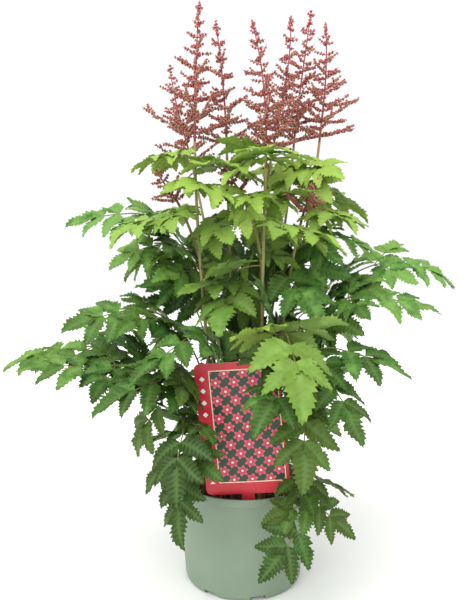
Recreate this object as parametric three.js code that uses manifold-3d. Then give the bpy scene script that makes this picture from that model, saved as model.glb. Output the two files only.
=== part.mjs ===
// An astilbe in flower, grown in a round nursery pot with a card label on a stake.
// Millimetres, +Z up. The origin is the middle of the pot's base; -Y is the front, where the label stands.
import * as THREE from "three";
import { mergeVertices } from "three/addons/utils/BufferGeometryUtils.js";
import Module from "manifold-3d";

const wasm = await Module();
wasm.setup();

// ---- Driving dimensions, in millimetres and degrees ----

const GAP = 0.3; // between pieces that touch
const ROUND = 24; // sides of the pot and the soil

const POT = {
  height: 123,
  rimRadius: 85,
  rimHeight: 10,
  rimStep: 2.5,
  baseRadius: 74,
  edgeRound: 6,
  wall: 1.6,
  floorTop: 7.5,
  recess: 5.5, // height of the hollow under the floor
  padRadius: 24,
  footRadius: 60, // where the foot ring starts
  notches: 8,
  notchWidth: 18,
  notchHeight: 6,
  firstNotch: 12.5,
  drains: 4,
  drainRadius: 6,
  drainCircle: 42,
};

const SOIL = { top: 107, edgeDrop: 3, crown: 66, rootDepth: 15, hole: 0.45 };

const LABEL = {
  width: 98,
  height: 158,
  corner: 7,
  thick: 0.8,
  stakeWidth: 14,
  stakeLength: 62,
  pointLength: 12,
  foot: [4.7, -76, 127.5], // middle of the card's lower edge
  yaw: -6,
  lean: 4.7, // to the left
  forward: 8, // its top hangs over the rim
};

// Stems stand on a spiral of places in the soil, each on one of the free places nearest to where it wants
// to be.
const CROWN = { places: 48, radius: 56, turn: 137.508, tries: 6 };

// A blade is a pinna cut to its rib into five leaflets: two pairs and a last one. Its edge runs from the
// neck to the tip through these points to each side, [along, out] as shares of its length. Each point of
// the rib has a fan of triangles out to the edge, up to the edge point of this number.
const BLADE = {
  edge: [
    [0.08, 0.02],
    [0.13, 0.22],
    [0.42, 0.45],
    [0.36, 0.04],
    [0.4, 0.2],
    [0.68, 0.36],
    [0.6, 0.04],
    [0.7, 0.17],
  ],
  ribs: [0.22, 0.45, 0.68],
  fans: [3, 6, 8],
  ribHalf: 0.65, // half its thickness on the rib
  rise: 0.16, // the leaflets rise from the rib and sag at their tips
  sag: 0.75,
  droop: 20, // how far it arches down over its length
};

// A basal leaf at size 1: pairs of blades this far back from the end of its rachis, and a last blade.
const LEAF = {
  pairs: [{ back: 82, length: 88, angle: 62 }, { back: 34, length: 72, angle: 56 }],
  last: 92,
  petioleHalf: 1.5,
  rachisHalf: 0.75,
  petioleStops: 2,
  hang: -4, // lift of a blade where it leaves the rachis
  into: 0.5, // share of its reach over which the rachis settles to its heading
  steep: 0.62, // share of its rise that the petiole climbs before it leans out
};

// A leaf on a flower stem: a stalk that rises, turns over and ends in three blades.
const STEM_LEAF = { last: 84, side: 66, angle: 58, turnOver: 30, turnAt: 0.55 };

const STALK = { halfFoot: 2.1, halfTop: 1.3, stops: 3 };

// A plume: branches in pairs up its axis, each a line of beads, the tight clusters of buds.
const SPRAY = {
  axisHalf: 1.4,
  tipHalf: 0.7,
  lift: 24, // branches rise this steeply
  beadLength: 16,
  beadHalf: 2.5,
  neckHalf: 0.8,
  mostBeads: 3,
  shrink: 1.4, // how fast the branches shorten towards the tip
  shortest: 9,
};

// Basal leaves: [name, wanted place in the soil, end of the rachis, heading there, its fall, size, roll]
const LEAVES = [
  ["left_high", [-20, 4], [-154, 10, 468], 186, 6, 0.94, -30],
  ["left_inner", [-26, -4], [-104, -44, 421], 206, 14, 0.78, -28],
  ["left_middle", [-36, -4], [-142, -50, 341], 200, 10, 0.92, -30],
  ["left_far", [-44, 6], [-224, -20, 291], 180, 12, 0.96, -30],
  ["left_front", [-46, -8], [-182, -72, 273], 200, 12, 0.92, -30],
  ["left_near", [-30, -28], [-64, -108, 311], 214, 28, 0.94, -20],
  ["left_low", [-40, -24], [-94, -108, 265], 216, 34, 0.92, -20],
  ["left_trailing", [-54, -6], [-94, -88, 239], 212, 50, 0.88, -20],
  ["left_lowest", [-52, -16], [-68, -120, 207], 230, 46, 0.9, -12],
  ["front_left", [-50, -28], [-70, -122, 165], 228, 56, 0.84, -8],
  ["right_high", [22, -4], [112, -30, 433], -6, 12, 0.86, 28],
  ["right_far", [40, 8], [206, 2, 403], -4, 2, 0.98, 30],
  ["right_middle", [42, -6], [158, -50, 356], -16, 14, 0.92, 30],
  ["right_front", [46, -18], [108, -88, 297], -24, 12, 0.96, 26],
  ["front_bright", [36, -38], [44, -138, 313], -86, 32, 1.14, 0],
  ["right_low", [52, -10], [94, -106, 263], -60, 34, 0.92, 12],
  ["front_right", [46, -30], [62, -134, 233], -92, 50, 0.94, 8],
  ["front_hanging", [26, -50], [44, -146, 269], 200, 34, 0.94, -48],
  ["right_lowest", [54, -22], [62, -120, 109], -82, 68, 0.84, 4],
  ["front_high", [-8, -8], [-18, 20, 429], 256, 18, 1.1, -8],
  ["front_middle", [20, -20], [48, -58, 385], -64, 26, 1.06, 10],
  ["front_cross", [30, -36], [18, -120, 323], 196, 6, 0.96, -40],
  ["inner_left", [-14, 14], [-60, 34, 315], 168, 16, 1.0, -10],
  ["inner_right", [14, -2], [74, 14, 321], 10, 16, 1.0, 10],
  ["left_up", [-30, 12], [-104, 20, 425], 172, 18, 0.96, -30],
  ["right_up", [26, 16], [96, 30, 429], 8, 18, 0.96, 30],
  ["back_left", [-30, 32], [-110, 124, 363], 132, 22, 0.9, 8],
  ["back_middle", [2, 36], [10, 150, 403], 90, 20, 0.9, -8],
  ["back_right", [34, 34], [122, 118, 333], 44, 24, 0.9, 10],
  ["back_low", [-6, 52], [-20, 146, 253], 100, 38, 0.88, 10],
];

// Flower stems: [name, wanted place in the soil, foot of the plume, its bow, tip, branches, length of the
// lowest]
const FLOWERS = [
  ["a", [-36, -34], [-60, -44, 547], [-4, 0], [-56, -14, 737], 16, 58],
  ["b", [-12, -22], [-21, -25, 545], [4, 0], [-35, -25, 705], 14, 44],
  ["c", [16, -44], [26, -62, 527], [12, 0], [10, -40, 699], 14, 47],
  ["d", [30, -12], [37, -15, 541], [14, 0], [61, -15, 717], 14, 48],
  ["e", [26, 34], [71, 38, 565], [0, 0], [95, 36, 753], 14, 54],
  ["f", [46, 6], [100, 0, 559], [10, 0], [108, 0, 717], 14, 62],
  ["g", [-4, -44], [-2, -52, 479], [-6, 0], [-30, -54, 525], 6, 26],
  ["h", [40, -30], [72, -42, 455], [-2, 0], [96, -48, 505], 6, 34],
  ["i", [-44, -14], [-80, -28, 471], [-6, 0], [-112, -28, 521], 6, 32],
  ["j", [-24, 42], [-70, 66, 541], [-10, 0], [-104, 70, 693], 10, 52],
];

// Leaves on the flower stems: [stem, share of its height, heading, stalk, size, rise]
const STEM_LEAVES = [
  ["a", 0.95, 200, 18, 0.84, 22],
  ["a", 0.87, 292, 24, 1.0, 10],
  ["a", 0.8, 206, 30, 1.12, 6],
  ["b", 0.92, 250, 22, 1.05, 20],
  ["b", 0.8, 218, 24, 1.1, 10],
  ["b", 0.62, 262, 30, 1.18, 0],
  ["c", 0.96, 275, 24, 1.0, 24],
  ["c", 0.88, 214, 26, 1.05, 8],
  ["c", 0.8, 330, 30, 1.04, 6],
  ["c", 0.68, 186, 34, 1.1, 0],
  ["d", 0.72, 258, 30, 1.2, -4],
  ["d", 0.86, 290, 24, 1.1, 8],
  ["d", 0.96, 232, 16, 0.8, 30],
  ["e", 0.94, 256, 22, 1.0, 12],
  ["e", 0.86, 12, 36, 1.0, 14],
  ["e", 0.74, -54, 34, 1.05, 6],
  ["f", 0.94, 232, 22, 1.0, 14],
  ["f", 0.8, -58, 24, 1.0, 4],
  ["i", 0.84, 190, 26, 0.76, 14],
  ["j", 0.87, 150, 30, 0.9, 20],
];

// What would touch another stem or leaf is bent clear: of these rings of shifts, from the smallest
// outwards, the first that leaves room is taken. A limb without any such bend grows smaller.
const BOWS = rings([9, 18, 28, 40, 54], 8); // of a stalk, sideways and upwards, in millimetres
const BENDS = [1, 0.84, 0.68].flatMap((size) =>
  rings([10, 20, 30, 42, 54], 8).map(([swing, lift]) => [swing, lift, size]),
); // of a blade or a branch, swing and lift in degrees and share of its size
const ROOM = 0.5; // least room between leaves and stems
const CROSSING = 0.02; // cubic millimetres that only touching pieces may share

// ---- Small helpers ----

// [0, 0], then evenly spaced points on circles of these sizes.
function rings(sizes, count) {
  const points = [[0, 0]];
  for (const size of sizes)
    for (let i = 0; i < count; i++) {
      const angle = (2 * Math.PI * i) / count;
      points.push([size * Math.cos(angle), size * Math.sin(angle)]);
    }
  return points;
}

const radians = THREE.MathUtils.degToRad;
const vec = (x, y, z) => new THREE.Vector3(x, y, z);
const heading = (angle) => vec(Math.cos(radians(angle)), Math.sin(radians(angle)), 0);
const along = (p, direction, distance) => p.clone().addScaledVector(direction, distance);
const UP = vec(0, 0, 1);

// A repeatable series of draws between two numbers.
function series(seed) {
  let state = (seed * 2654435761) % 4294967296;
  return (low, high) => {
    state = (state * 1664525 + 1013904223) % 4294967296;
    return low + ((high - low) * state) / 4294967296;
  };
}

function solid(geometry) {
  const bare = new THREE.BufferGeometry();
  bare.setAttribute("position", geometry.getAttribute("position"));
  if (geometry.index) bare.setIndex(geometry.index);
  const merged = mergeVertices(bare, 1e-4);
  const corners = merged.index.array;
  const kept = [];
  for (let i = 0; i < corners.length; i += 3) {
    const [a, b, c] = corners.subarray(i, i + 3);
    if (a !== b && b !== c && c !== a) kept.push(a, b, c);
  }
  const vertProperties = merged.attributes.position.array;
  const triVerts = new Uint32Array(kept);
  return new wasm.Manifold(new wasm.Mesh({ numProp: 3, vertProperties, triVerts }));
}

function geometryOf(manifold) {
  const { numProp, vertProperties, triVerts } = manifold.getMesh();
  const points = new Float32Array((vertProperties.length / numProp) * 3);
  for (let i = 0; i < points.length / 3; i++)
    points.set(vertProperties.subarray(i * numProp, i * numProp + 3), i * 3);
  const geometry = new THREE.BufferGeometry();
  geometry.setAttribute("position", new THREE.BufferAttribute(points, 3));
  geometry.setIndex(new THREE.BufferAttribute(triVerts, 1));
  geometry.computeVertexNormals();
  return geometry;
}

function matte(color, roughness) {
  return new THREE.MeshStandardMaterial({ color, roughness, metalness: 0, flatShading: true });
}

// ---- Places along a curve ----

// A place has a point p, and the directions f forward, u up and r right.
function place(p, forward, up) {
  const f = forward.clone().normalize();
  const r = f.clone().cross(up).normalize();
  return { p, f, r, u: r.clone().cross(f) };
}

// The place turned by swing to the right, lift upwards and roll to the right.
function turned(at, swing, lift, roll = 0) {
  const f = towards(towards(at.f, at.r, swing), at.u, lift);
  const next = place(at.p, f, at.u);
  return place(at.p, f, towards(next.u, next.r, roll));
}

// The direction a, turned by an angle towards b.
function towards(a, b, angle) {
  return a.clone().multiplyScalar(Math.cos(radians(angle))).addScaledVector(b, Math.sin(radians(angle)));
}

// Walks a Bezier curve by length. `right` is the direction kept on the right; roll grows to the end.
function walk(points, right, roll = 0) {
  const steps = 60;
  const curve = new THREE.CubicBezierCurve3(...points);
  const marks = [];
  let length = 0;
  for (let i = 0; i <= steps; i++) {
    const p = curve.getPoint(i / steps);
    if (i) length += p.distanceTo(marks[i - 1].p);
    marks.push({ p, length });
  }
  const at = (distance) => {
    const wanted = Math.min(Math.max(distance, 0), length);
    let i = 1;
    while (i < steps && marks[i].length < wanted) i++;
    const before = marks[i - 1];
    const share = (wanted - before.length) / (marks[i].length - before.length);
    const f = tangent(points, (i - 1 + share) / steps);
    const r = along(right, f, -right.dot(f)).normalize();
    const up = towards(r.clone().cross(f), r, roll * (wanted / length) ** 2);
    return place(before.p.clone().lerp(marks[i].p, share), f, up);
  };
  return { length, at };
}

function tangent([a, b, c, d], t) {
  const s = 1 - t;
  return vec(0, 0, 0)
    .addScaledVector(b.clone().sub(a), 3 * s * s)
    .addScaledVector(c.clone().sub(b), 6 * s * t)
    .addScaledVector(d.clone().sub(c), 3 * t * t)
    .normalize();
}

// ---- Growing one closed surface ----

// Corners of a four-sided ring, anticlockwise as seen from ahead; side k lies between corners k and k + 1.
const CORNERS = [[1, -1], [-1, -1], [-1, 1], [1, 1]]; // shares of right and up
const SIDES = [[0, -1], [-1, 0], [0, 1], [1, 0]];

class Growth {
  constructor() {
    this.points = [];
    this.faces = [];
  }

  point(p) {
    this.points.push(p);
    return this.points.length - 1;
  }

  ring(at, half) {
    return CORNERS.map(([r, u]) => this.point(along(along(at.p, at.r, r * half), at.u, u * half)));
  }

  quad([a, b, c, d]) {
    this.faces.push(a, b, c, a, c, d);
  }

  // Joins two rings. The sides in `open` stay open and are returned, each as a ring for what grows there.
  join(from, to, open = []) {
    const openings = [];
    for (let k = 0; k < 4; k++) {
      const next = (k + 1) % 4;
      const side = [from[k], from[next], to[next], to[k]];
      if (open.includes(k)) openings.push(side);
      else this.quad(side);
    }
    return openings;
  }

  // The ring's corners listed from the one that best fits the place's own first corner.
  fitted(ring, at) {
    const middle = ring.reduce((sum, i) => sum.add(this.points[i]), vec(0, 0, 0)).multiplyScalar(0.25);
    const score = (shift) =>
      CORNERS.reduce((sum, [r, u], k) => {
        const out = this.points[ring[(k + shift) % 4]].clone().sub(middle);
        return sum + r * out.dot(at.r) + u * out.dot(at.u);
      }, 0);
    const best = [0, 1, 2, 3].reduce((a, b) => (score(b) > score(a) ? b : a));
    return ring.map((_, k) => ring[(k + best) % 4]);
  }

  // A stalk through its stops; returns its last ring and the openings that it leaves.
  stalk(from, stops) {
    let ring = this.fitted(from, stops[0].at);
    const openings = [];
    for (const { at, half, open } of stops) {
      const next = this.ring(at, half);
      openings.push(...this.join(ring, next, open));
      ring = next;
    }
    return { ring, openings };
  }

  // A cut blade with a lens section: both faces share the edge and are split into the same triangles.
  blade(from, shape) {
    const [rightLow, leftLow, leftTop, rightTop] = this.fitted(from, shape.at);
    const tip = this.point(shape.tip);
    const [right, left] = shape.edges.map((side) => [...side.map((p) => this.point(p)), tip]);
    const top = shape.ribs.map((rib) => this.point(rib.top));
    const low = shape.ribs.map((rib) => this.point(rib.low));
    const face = (a, b, c) => this.faces.push(a, b, c);
    const back = (a, b, c) => this.faces.push(a, c, b);
    face(leftTop, rightTop, top[0]);
    this.fans(rightTop, top, right, face);
    this.fans(leftTop, top, left, back);
    back(leftLow, rightLow, low[0]);
    this.fans(rightLow, low, right, back);
    this.fans(leftLow, low, left, face);
    face(rightLow, right[0], rightTop);
    face(leftTop, left[0], leftLow);
  }

  fans(start, ribs, edge, face) {
    face(start, edge[0], ribs[0]);
    let j = 0;
    ribs.forEach((rib, k) => {
      for (; j < BLADE.fans[k]; j++) face(rib, edge[j], edge[j + 1]);
      if (k < ribs.length - 1) face(rib, edge[j], ribs[k + 1]);
    });
  }

  // A branch of beads that ends in a point.
  beads(from, shape) {
    let ring = this.fitted(from, shape.rings[0].at);
    for (const { at, half } of shape.rings) {
      const next = this.ring(at, half);
      this.join(ring, next);
      ring = next;
    }
    const tip = this.point(shape.tip);
    ring.forEach((corner, k) => this.faces.push(corner, ring[(k + 1) % 4], tip));
  }

  geometry() {
    const geometry = new THREE.BufferGeometry().setFromPoints(this.points);
    geometry.setIndex(this.faces);
    return geometry;
  }
}

// ---- Shapes of blades, stalks and sprays ----

// A blade from a place: its rib arches down by droop over its length.
function bladeShape(at, length, droop) {
  const bend = radians(droop);
  const on = (share) => {
    const turn = bend * share;
    const ahead = (length * Math.sin(turn)) / bend;
    const down = (length * (1 - Math.cos(turn))) / bend;
    const up = towards(at.u, at.f, droop * share);
    return { p: along(along(at.p, at.f, ahead), at.u, -down), up };
  };
  const edges = [1, -1].map((side) =>
    BLADE.edge.map(([share, out]) => {
      const { p, up } = on(share);
      const height = (BLADE.rise * out - BLADE.sag * out * out) * length;
      return along(along(p, at.r, side * out * length), up, height);
    }),
  );
  const ribs = BLADE.ribs.map((share) => {
    const { p, up } = on(share);
    return { top: along(p, up, BLADE.ribHalf), low: along(p, up, -BLADE.ribHalf) };
  });
  return { kind: "blade", at, edges, ribs, tip: on(1).p };
}

// The limb that starts on a side of a stalk: its place before any bend.
function sprout(at, half, side, swing, lift) {
  const out = at.r.clone().multiplyScalar(side);
  const base = place(along(at.p, out, half), out, at.u);
  return turned(base, side * (swing - 90), lift);
}

// A blade that varies a little from the next; like each limb it is a plan that waits for its bend.
function bladeLimb(at, length, draw) {
  const swing = draw(-7, 7);
  const lift = draw(-8, 8);
  const roll = draw(-12, 12);
  const size = length * draw(0.92, 1.08);
  const droop = BLADE.droop + draw(-14, 14);
  return ([across, up, share]) =>
    bladeShape(turned(at, swing + across, lift + up, roll), size * share, droop);
}

// The rachis of a leaf on a curve, with its pairs of blades and last blade.
function leafStops(path, size, stops, draw) {
  const limbs = [];
  const { pairs, hang, last, petioleHalf, rachisHalf } = LEAF;
  for (const { back, length, angle } of pairs) {
    const middle = path.length - back * size;
    const at = path.at(middle);
    const half = THREE.MathUtils.lerp(petioleHalf, rachisHalf, middle / path.length);
    stops.push({ at: path.at(middle - 1.3), half });
    stops.push({ at: path.at(middle + 1.3), half, open: [1, 3] });
    for (const side of [-1, 1])
      limbs.push(bladeLimb(sprout(at, half, side, angle, hang), length * size, draw));
  }
  stops.push({ at: path.at(path.length), half: rachisHalf });
  const end = bladeLimb(path.at(path.length), last * size, draw);
  return { kind: "stalk", stops, limbs, last: end };
}

// The foot of a stem: straight down into the soil.
function footStops(root, right, half) {
  const at = (z) => place(vec(root.x, root.y, z), UP, UP.clone().cross(right).negate());
  return [
    { at: at(SOIL.top - SOIL.rootDepth), half },
    { at: at(SOIL.top + 4), half },
  ];
}

function basalLeaf([, , end, turn, fall, size, roll], index, root, bow) {
  const out = heading(turn);
  const right = out.clone().cross(UP);
  const start = vec(root.x, root.y, SOIL.top + 4);
  const stop = vec(...end);
  const reach = Math.hypot(stop.x - start.x, stop.y - start.y);
  const rise = stop.z - start.z;
  const push = right.clone().multiplyScalar(bow[0]).addScaledVector(UP, bow[1]);
  const back = LEAF.into * reach + 0.06 * Math.abs(rise);
  const before = along(stop, towards(out, UP, -fall), -back).add(push);
  const above = along(start, UP, Math.max(LEAF.steep * rise, 50) + 0.5 * bow[1]);
  const path = walk([start, above, before, stop], right, roll);
  const stops = footStops(root, right, LEAF.petioleHalf);
  const free = path.length - LEAF.pairs[0].back * size;
  for (let i = 1; i <= LEAF.petioleStops; i++) {
    const distance = (free * i) / (LEAF.petioleStops + 1);
    stops.push({ at: path.at(distance), half: LEAF.petioleHalf });
  }
  return leafStops(path, size, stops, series(index + 101));
}

// A leaf on a flower stem: a rising stalk that arches over and ends in three blades.
function stemLeafLimb(at, reach, size, rise, draw) {
  const swing = draw(-5, 5);
  const seed = Math.floor(draw(1, 1e5));
  return (bend) => {
    const start = turned(at, swing + bend[0], rise + bend[1]);
    const over = turned(at, swing + bend[0], rise + bend[1] - STEM_LEAF.turnOver);
    const middle = along(start.p, start.f, reach * STEM_LEAF.turnAt);
    const stop = along(middle, over.f, reach * (1 - STEM_LEAF.turnAt));
    const path = walk([start.p, middle, middle.clone().lerp(stop, 0.5), stop], start.r);
    const inner = series(seed);
    const half = LEAF.rachisHalf;
    const fork = path.at(path.length - 1.2);
    const side = (sign) =>
      bladeLimb(sprout(fork, half, sign, STEM_LEAF.angle, LEAF.hang), STEM_LEAF.side * size, inner);
    return {
      kind: "stalk",
      stops: [
        { at: path.at(path.length * 0.45), half },
        { at: path.at(path.length - 2.4), half },
        { at: path.at(path.length), half, open: [1, 3] },
      ],
      limbs: [side(-1), side(1)],
      last: bladeLimb(path.at(path.length), STEM_LEAF.last * size, inner),
    };
  };
}

function flowerPath(foot, bow, tip) {
  const length = foot.distanceTo(tip);
  const bowed = foot.clone().lerp(tip, 0.5).add(vec(bow[0], bow[1], 0));
  const into = bowed.clone().sub(foot).normalize().addScaledVector(UP, 0.6).normalize();
  return { into, points: [foot, along(foot, into, 0.3 * length), bowed.clone().lerp(tip, 0.25), tip] };
}

function flowerStalk([name, , foot, bow, tip], index, root, shift) {
  const draw = series(index + 301);
  const right = heading(draw(-20, 20));
  const start = vec(root.x, root.y, SOIL.top + 4);
  const stop = vec(...foot);
  const { into } = flowerPath(stop, bow, vec(...tip));
  const rise = stop.z - start.z;
  const push = right.clone().multiplyScalar(shift[0]).addScaledVector(UP, shift[1] * 0.4);
  const above = along(start, UP, 0.35 * rise);
  const before = along(stop, into, -0.35 * rise).add(push);
  const path = walk([start, above, before, stop], right);
  const half = (share) => THREE.MathUtils.lerp(STALK.halfFoot, STALK.halfTop, share);
  const leaves = STEM_LEAVES.filter(([stem]) => stem === name);
  const marks = leaves.map(([, share, turn, reach, size, up]) => ({ share, turn, reach, size, up }));
  for (let i = 1; i <= STALK.stops; i++) marks.push({ share: i / (STALK.stops + 1) });
  marks.sort((a, b) => a.share - b.share);
  const stops = footStops(root, right, STALK.halfFoot);
  const limbs = [];
  for (const { share, turn, reach, size, up } of marks) {
    const distance = share * path.length;
    const wide = half(share);
    if (!size) {
      if (marks.every((other) => !other.size || Math.abs(other.share - share) > 0.05))
        stops.push({ at: path.at(distance), half: wide });
      continue;
    }
    const at = path.at(distance);
    const out = heading(turn);
    const facing = SIDES.map(([r, u]) => at.r.clone().multiplyScalar(r).addScaledVector(at.u, u));
    const side = facing.reduce((best, face, k) => (face.dot(out) > facing[best].dot(out) ? k : best), 0);
    stops.push({ at: path.at(distance - 1.4), half: wide });
    stops.push({ at: path.at(distance + 1.4), half: wide, open: [side] });
    limbs.push(stemLeafLimb(place(along(at.p, facing[side], wide), out, UP), reach, size, up, draw));
  }
  stops.push({ at: path.at(path.length), half: STALK.halfTop });
  return { kind: "stalk", stops, limbs };
}

// A branch of a plume: beads of buds along a line that rises from the axis and tapers to a point.
function branchLimb(at, length) {
  const count = Math.min(Math.max(Math.round(length / SPRAY.beadLength), 1), SPRAY.mostBeads);
  return ([swing, lift, size]) => {
    const start = turned(at, swing, lift);
    const reach = (length * size) / (1 + 0.012 * Math.abs(lift));
    const stop = (share, half) => ({ at: { ...start, p: along(start.p, start.f, share * reach) }, half });
    const rings = [];
    for (let i = 0; i < count; i++) {
      const fade = 1 - (0.35 * i) / count;
      if (i) rings.push(stop((i + 0.02) / count, SPRAY.neckHalf));
      rings.push(stop((i + 0.5) / count, SPRAY.beadHalf * fade));
    }
    return { kind: "beads", rings, tip: along(start.p, start.f, reach) };
  };
}

function plume([, , foot, bow, tip, branches, longest], index) {
  const draw = series(index + 501);
  const base = vec(...foot);
  const path = walk(flowerPath(base, bow, vec(...tip)).points, heading(draw(0, 90)));
  const stops = [];
  const limbs = [];
  const pairs = branches / 2;
  const top = path.length;
  for (let i = 0; i < pairs; i++) {
    const share = (i + 0.25) / (pairs + 0.3);
    const distance = 4 + share * (top - 12);
    const half = THREE.MathUtils.lerp(SPRAY.axisHalf, SPRAY.tipHalf, share);
    const at = path.at(distance);
    stops.push({ at: path.at(distance - 1.3), half });
    stops.push({ at: path.at(distance + 1.3), half, open: i % 2 ? [0, 2] : [1, 3] });
    const faces = i % 2 ? [[0, -1], [0, 1]] : [[-1, 0], [1, 0]];
    for (const [r, u] of faces) {
      const out = at.r.clone().multiplyScalar(r).addScaledVector(at.u, u);
      const base = place(along(at.p, out, half), out, at.f);
      const start = turned(base, draw(-30, 30), SPRAY.lift + draw(-8, 8));
      const length = longest * (1 - share) ** SPRAY.shrink + SPRAY.shortest;
      limbs.push(branchLimb(start, length * draw(0.8, 1.1)));
    }
  }
  const end = { at: path.at(top), half: SPRAY.tipHalf };
  const first = { at: path.at(GAP), half: SPRAY.axisHalf };
  return { kind: "stalk", stops: [first, ...stops, end], limbs };
}

// ---- Turning plans into closed meshes ----

// The solid of one limb on its own, to see whether it has room.
function limbSolid(corners, shape) {
  const growth = new Growth();
  const from = corners.map((p) => growth.point(p));
  growth.quad([...from].reverse());
  if (shape.kind === "blade") growth.blade(from, shape);
  if (shape.kind === "beads") growth.beads(from, shape);
  if (shape.kind === "stalk") bareStalk(growth, from, shape);
  return solid(growth.geometry());
}

function bareStalk(growth, from, shape) {
  const { ring, openings } = growth.stalk(from, shape.stops);
  for (const opening of openings) growth.quad(opening);
  growth.quad(ring);
}

// A stem's stalk alone, closed at both ends.
function bareSolid(shape) {
  const growth = new Growth();
  const [first, ...rest] = shape.stops;
  const from = growth.ring(first.at, first.half);
  growth.quad([...from].reverse());
  bareStalk(growth, from, { ...shape, stops: rest });
  return solid(growth.geometry());
}

function near(a, b) {
  const [p, q] = [a.box, b.box];
  return [0, 1, 2].every((k) => p.min[k] - ROOM < q.max[k] && q.min[k] - ROOM < p.max[k]);
}

const boxed = (manifold) => ({ manifold, box: manifold.boundingBox() });

function hasRoom(manifold, others) {
  const one = boxed(manifold);
  const gap = (other) => one.manifold.minGap(other.manifold, 2 * ROOM);
  return others.every((other) => !near(one, other) || gap(other) >= ROOM);
}

// Pieces that grow together may touch where one starts on the other, but don't cross.
function crosses(manifold, own) {
  const one = boxed(manifold);
  const shared = (other) => one.manifold.intersect(other.manifold).volume();
  return own.some((other) => near(one, other) && shared(other) > CROSSING);
}

// Grows a limb from its opening with the least bend that leaves it room, or closes the opening.
function attach(growth, opening, limb, others, own) {
  const corners = opening.map((i) => growth.points[i]);
  for (const bend of BENDS) {
    const shape = limb(bend);
    const alone = limbSolid(corners, shape);
    if (!hasRoom(alone, others) || crosses(alone, own)) continue;
    own.push(boxed(alone));
    if (shape.kind === "blade") growth.blade(opening, shape);
    if (shape.kind === "beads") growth.beads(opening, shape);
    if (shape.kind === "stalk") fullStalk(growth, opening, shape, others, own);
    return;
  }
  growth.quad(opening);
}

function fullStalk(growth, from, shape, others, own) {
  const { ring, openings } = growth.stalk(from, shape.stops);
  openings.forEach((opening, i) => attach(growth, opening, shape.limbs[i], others, own));
  if (shape.last) attach(growth, ring, shape.last, others, own);
  else growth.quad(ring);
}

function fullSolid(shape, bare, others) {
  const growth = new Growth();
  const [first, ...rest] = shape.stops;
  const from = growth.ring(first.at, first.half);
  growth.quad([...from].reverse());
  fullStalk(growth, from, { ...shape, stops: rest }, others, [bare]);
  return solid(growth.geometry());
}

// ---- Pot, soil and label ----

const WALL_TAPER = (POT.rimRadius - POT.rimStep - POT.baseRadius) / (POT.height - POT.rimHeight);
const outerRadius = (z) => POT.baseRadius + WALL_TAPER * z;
const innerRadius = (z) => outerRadius(z) - POT.wall;

function lathe(outline) {
  const points = outline.map(([r, z]) => new THREE.Vector2(r, z));
  const geometry = new THREE.LatheGeometry(points, ROUND);
  return solid(geometry.rotateX(Math.PI / 2));
}

function boxAt(size, position, turn) {
  const geometry = new THREE.BoxGeometry(...size).translate(...position).rotateZ(radians(turn));
  return solid(geometry);
}

function potSolid() {
  const { height, rimRadius, rimHeight, edgeRound, floorTop, recess, padRadius, footRadius } = POT;
  const corner = [65, 30].map((angle) => {
    const across = outerRadius(edgeRound) - edgeRound;
    return [across + edgeRound * Math.cos(radians(angle)), edgeRound * (1 - Math.sin(radians(angle)))];
  });
  const outline = [
    [0, 0],
    [padRadius, 0],
    [padRadius + 2, recess],
    [footRadius, recess],
    [footRadius + 1, 0],
    ...corner,
    [outerRadius(height - rimHeight), height - rimHeight],
    [rimRadius, height - rimHeight + 0.8],
    [rimRadius, height - 1],
    [rimRadius - 1, height],
    [rimRadius - 1 - POT.wall, height],
    [innerRadius(height - rimHeight), height - rimHeight],
    [innerRadius(floorTop), floorTop],
    [0, floorTop],
  ];
  let pot = lathe(outline);
  const depth = rimRadius - footRadius + 4;
  for (let i = 0; i < POT.notches; i++) {
    const middle = [footRadius - 2 + depth / 2, 0, POT.notchHeight / 2 - 2];
    const angle = POT.firstNotch + (i * 360) / POT.notches;
    pot = pot.subtract(boxAt([depth, POT.notchWidth, POT.notchHeight + 4], middle, angle));
  }
  for (let i = 0; i < POT.drains; i++) {
    const drain = new THREE.CylinderGeometry(POT.drainRadius, POT.drainRadius, 4 * floorTop, 8);
    const middle = heading((i * 360) / POT.drains).multiplyScalar(POT.drainCircle);
    pot = pot.subtract(solid(drain.rotateX(Math.PI / 2).translate(middle.x, middle.y, 0)));
  }
  return pot;
}

function soilSolid() {
  const low = POT.floorTop + GAP;
  const edge = SOIL.top - SOIL.edgeDrop;
  return lathe([
    [0, low],
    [innerRadius(low) - GAP - 0.1, low],
    [innerRadius(edge) - GAP - 0.1, edge],
    [SOIL.crown, SOIL.top],
    [0, SOIL.top],
  ]);
}

// The card and its stake in one flat outline, drawn about the middle of the card's lower edge.
function labelSolid(grow = 0) {
  const { width, height, corner, thick, stakeWidth, stakeLength, pointLength } = LABEL;
  const half = width / 2;
  const stake = stakeWidth / 2 + grow;
  const shape = new THREE.Shape();
  shape.moveTo(-stake, 0);
  shape.lineTo(-half + corner, 0);
  shape.absarc(-half + corner, corner, corner, -Math.PI / 2, -Math.PI, true);
  shape.absarc(-half + corner, height - corner, corner, Math.PI, Math.PI / 2, true);
  shape.absarc(half - corner, height - corner, corner, Math.PI / 2, 0, true);
  shape.absarc(half - corner, corner, corner, 0, -Math.PI / 2, true);
  shape.lineTo(stake, 0);
  shape.lineTo(stake, -stakeLength + pointLength - grow);
  shape.lineTo(stake * 0.3, -stakeLength - grow);
  shape.lineTo(-stake * 0.3, -stakeLength - grow);
  shape.lineTo(-stake, -stakeLength + pointLength - grow);
  const depth = thick + 2 * grow;
  const geometry = new THREE.ExtrudeGeometry(shape, { depth, bevelEnabled: false, curveSegments: 2 });
  geometry.translate(0, 0, -thick / 2 - grow);
  geometry.rotateX(Math.PI / 2 + radians(LABEL.forward));
  geometry.rotateY(radians(-LABEL.lean));
  geometry.rotateZ(radians(LABEL.yaw));
  return solid(geometry.translate(...LABEL.foot));
}

// ---- The whole plant ----

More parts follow.
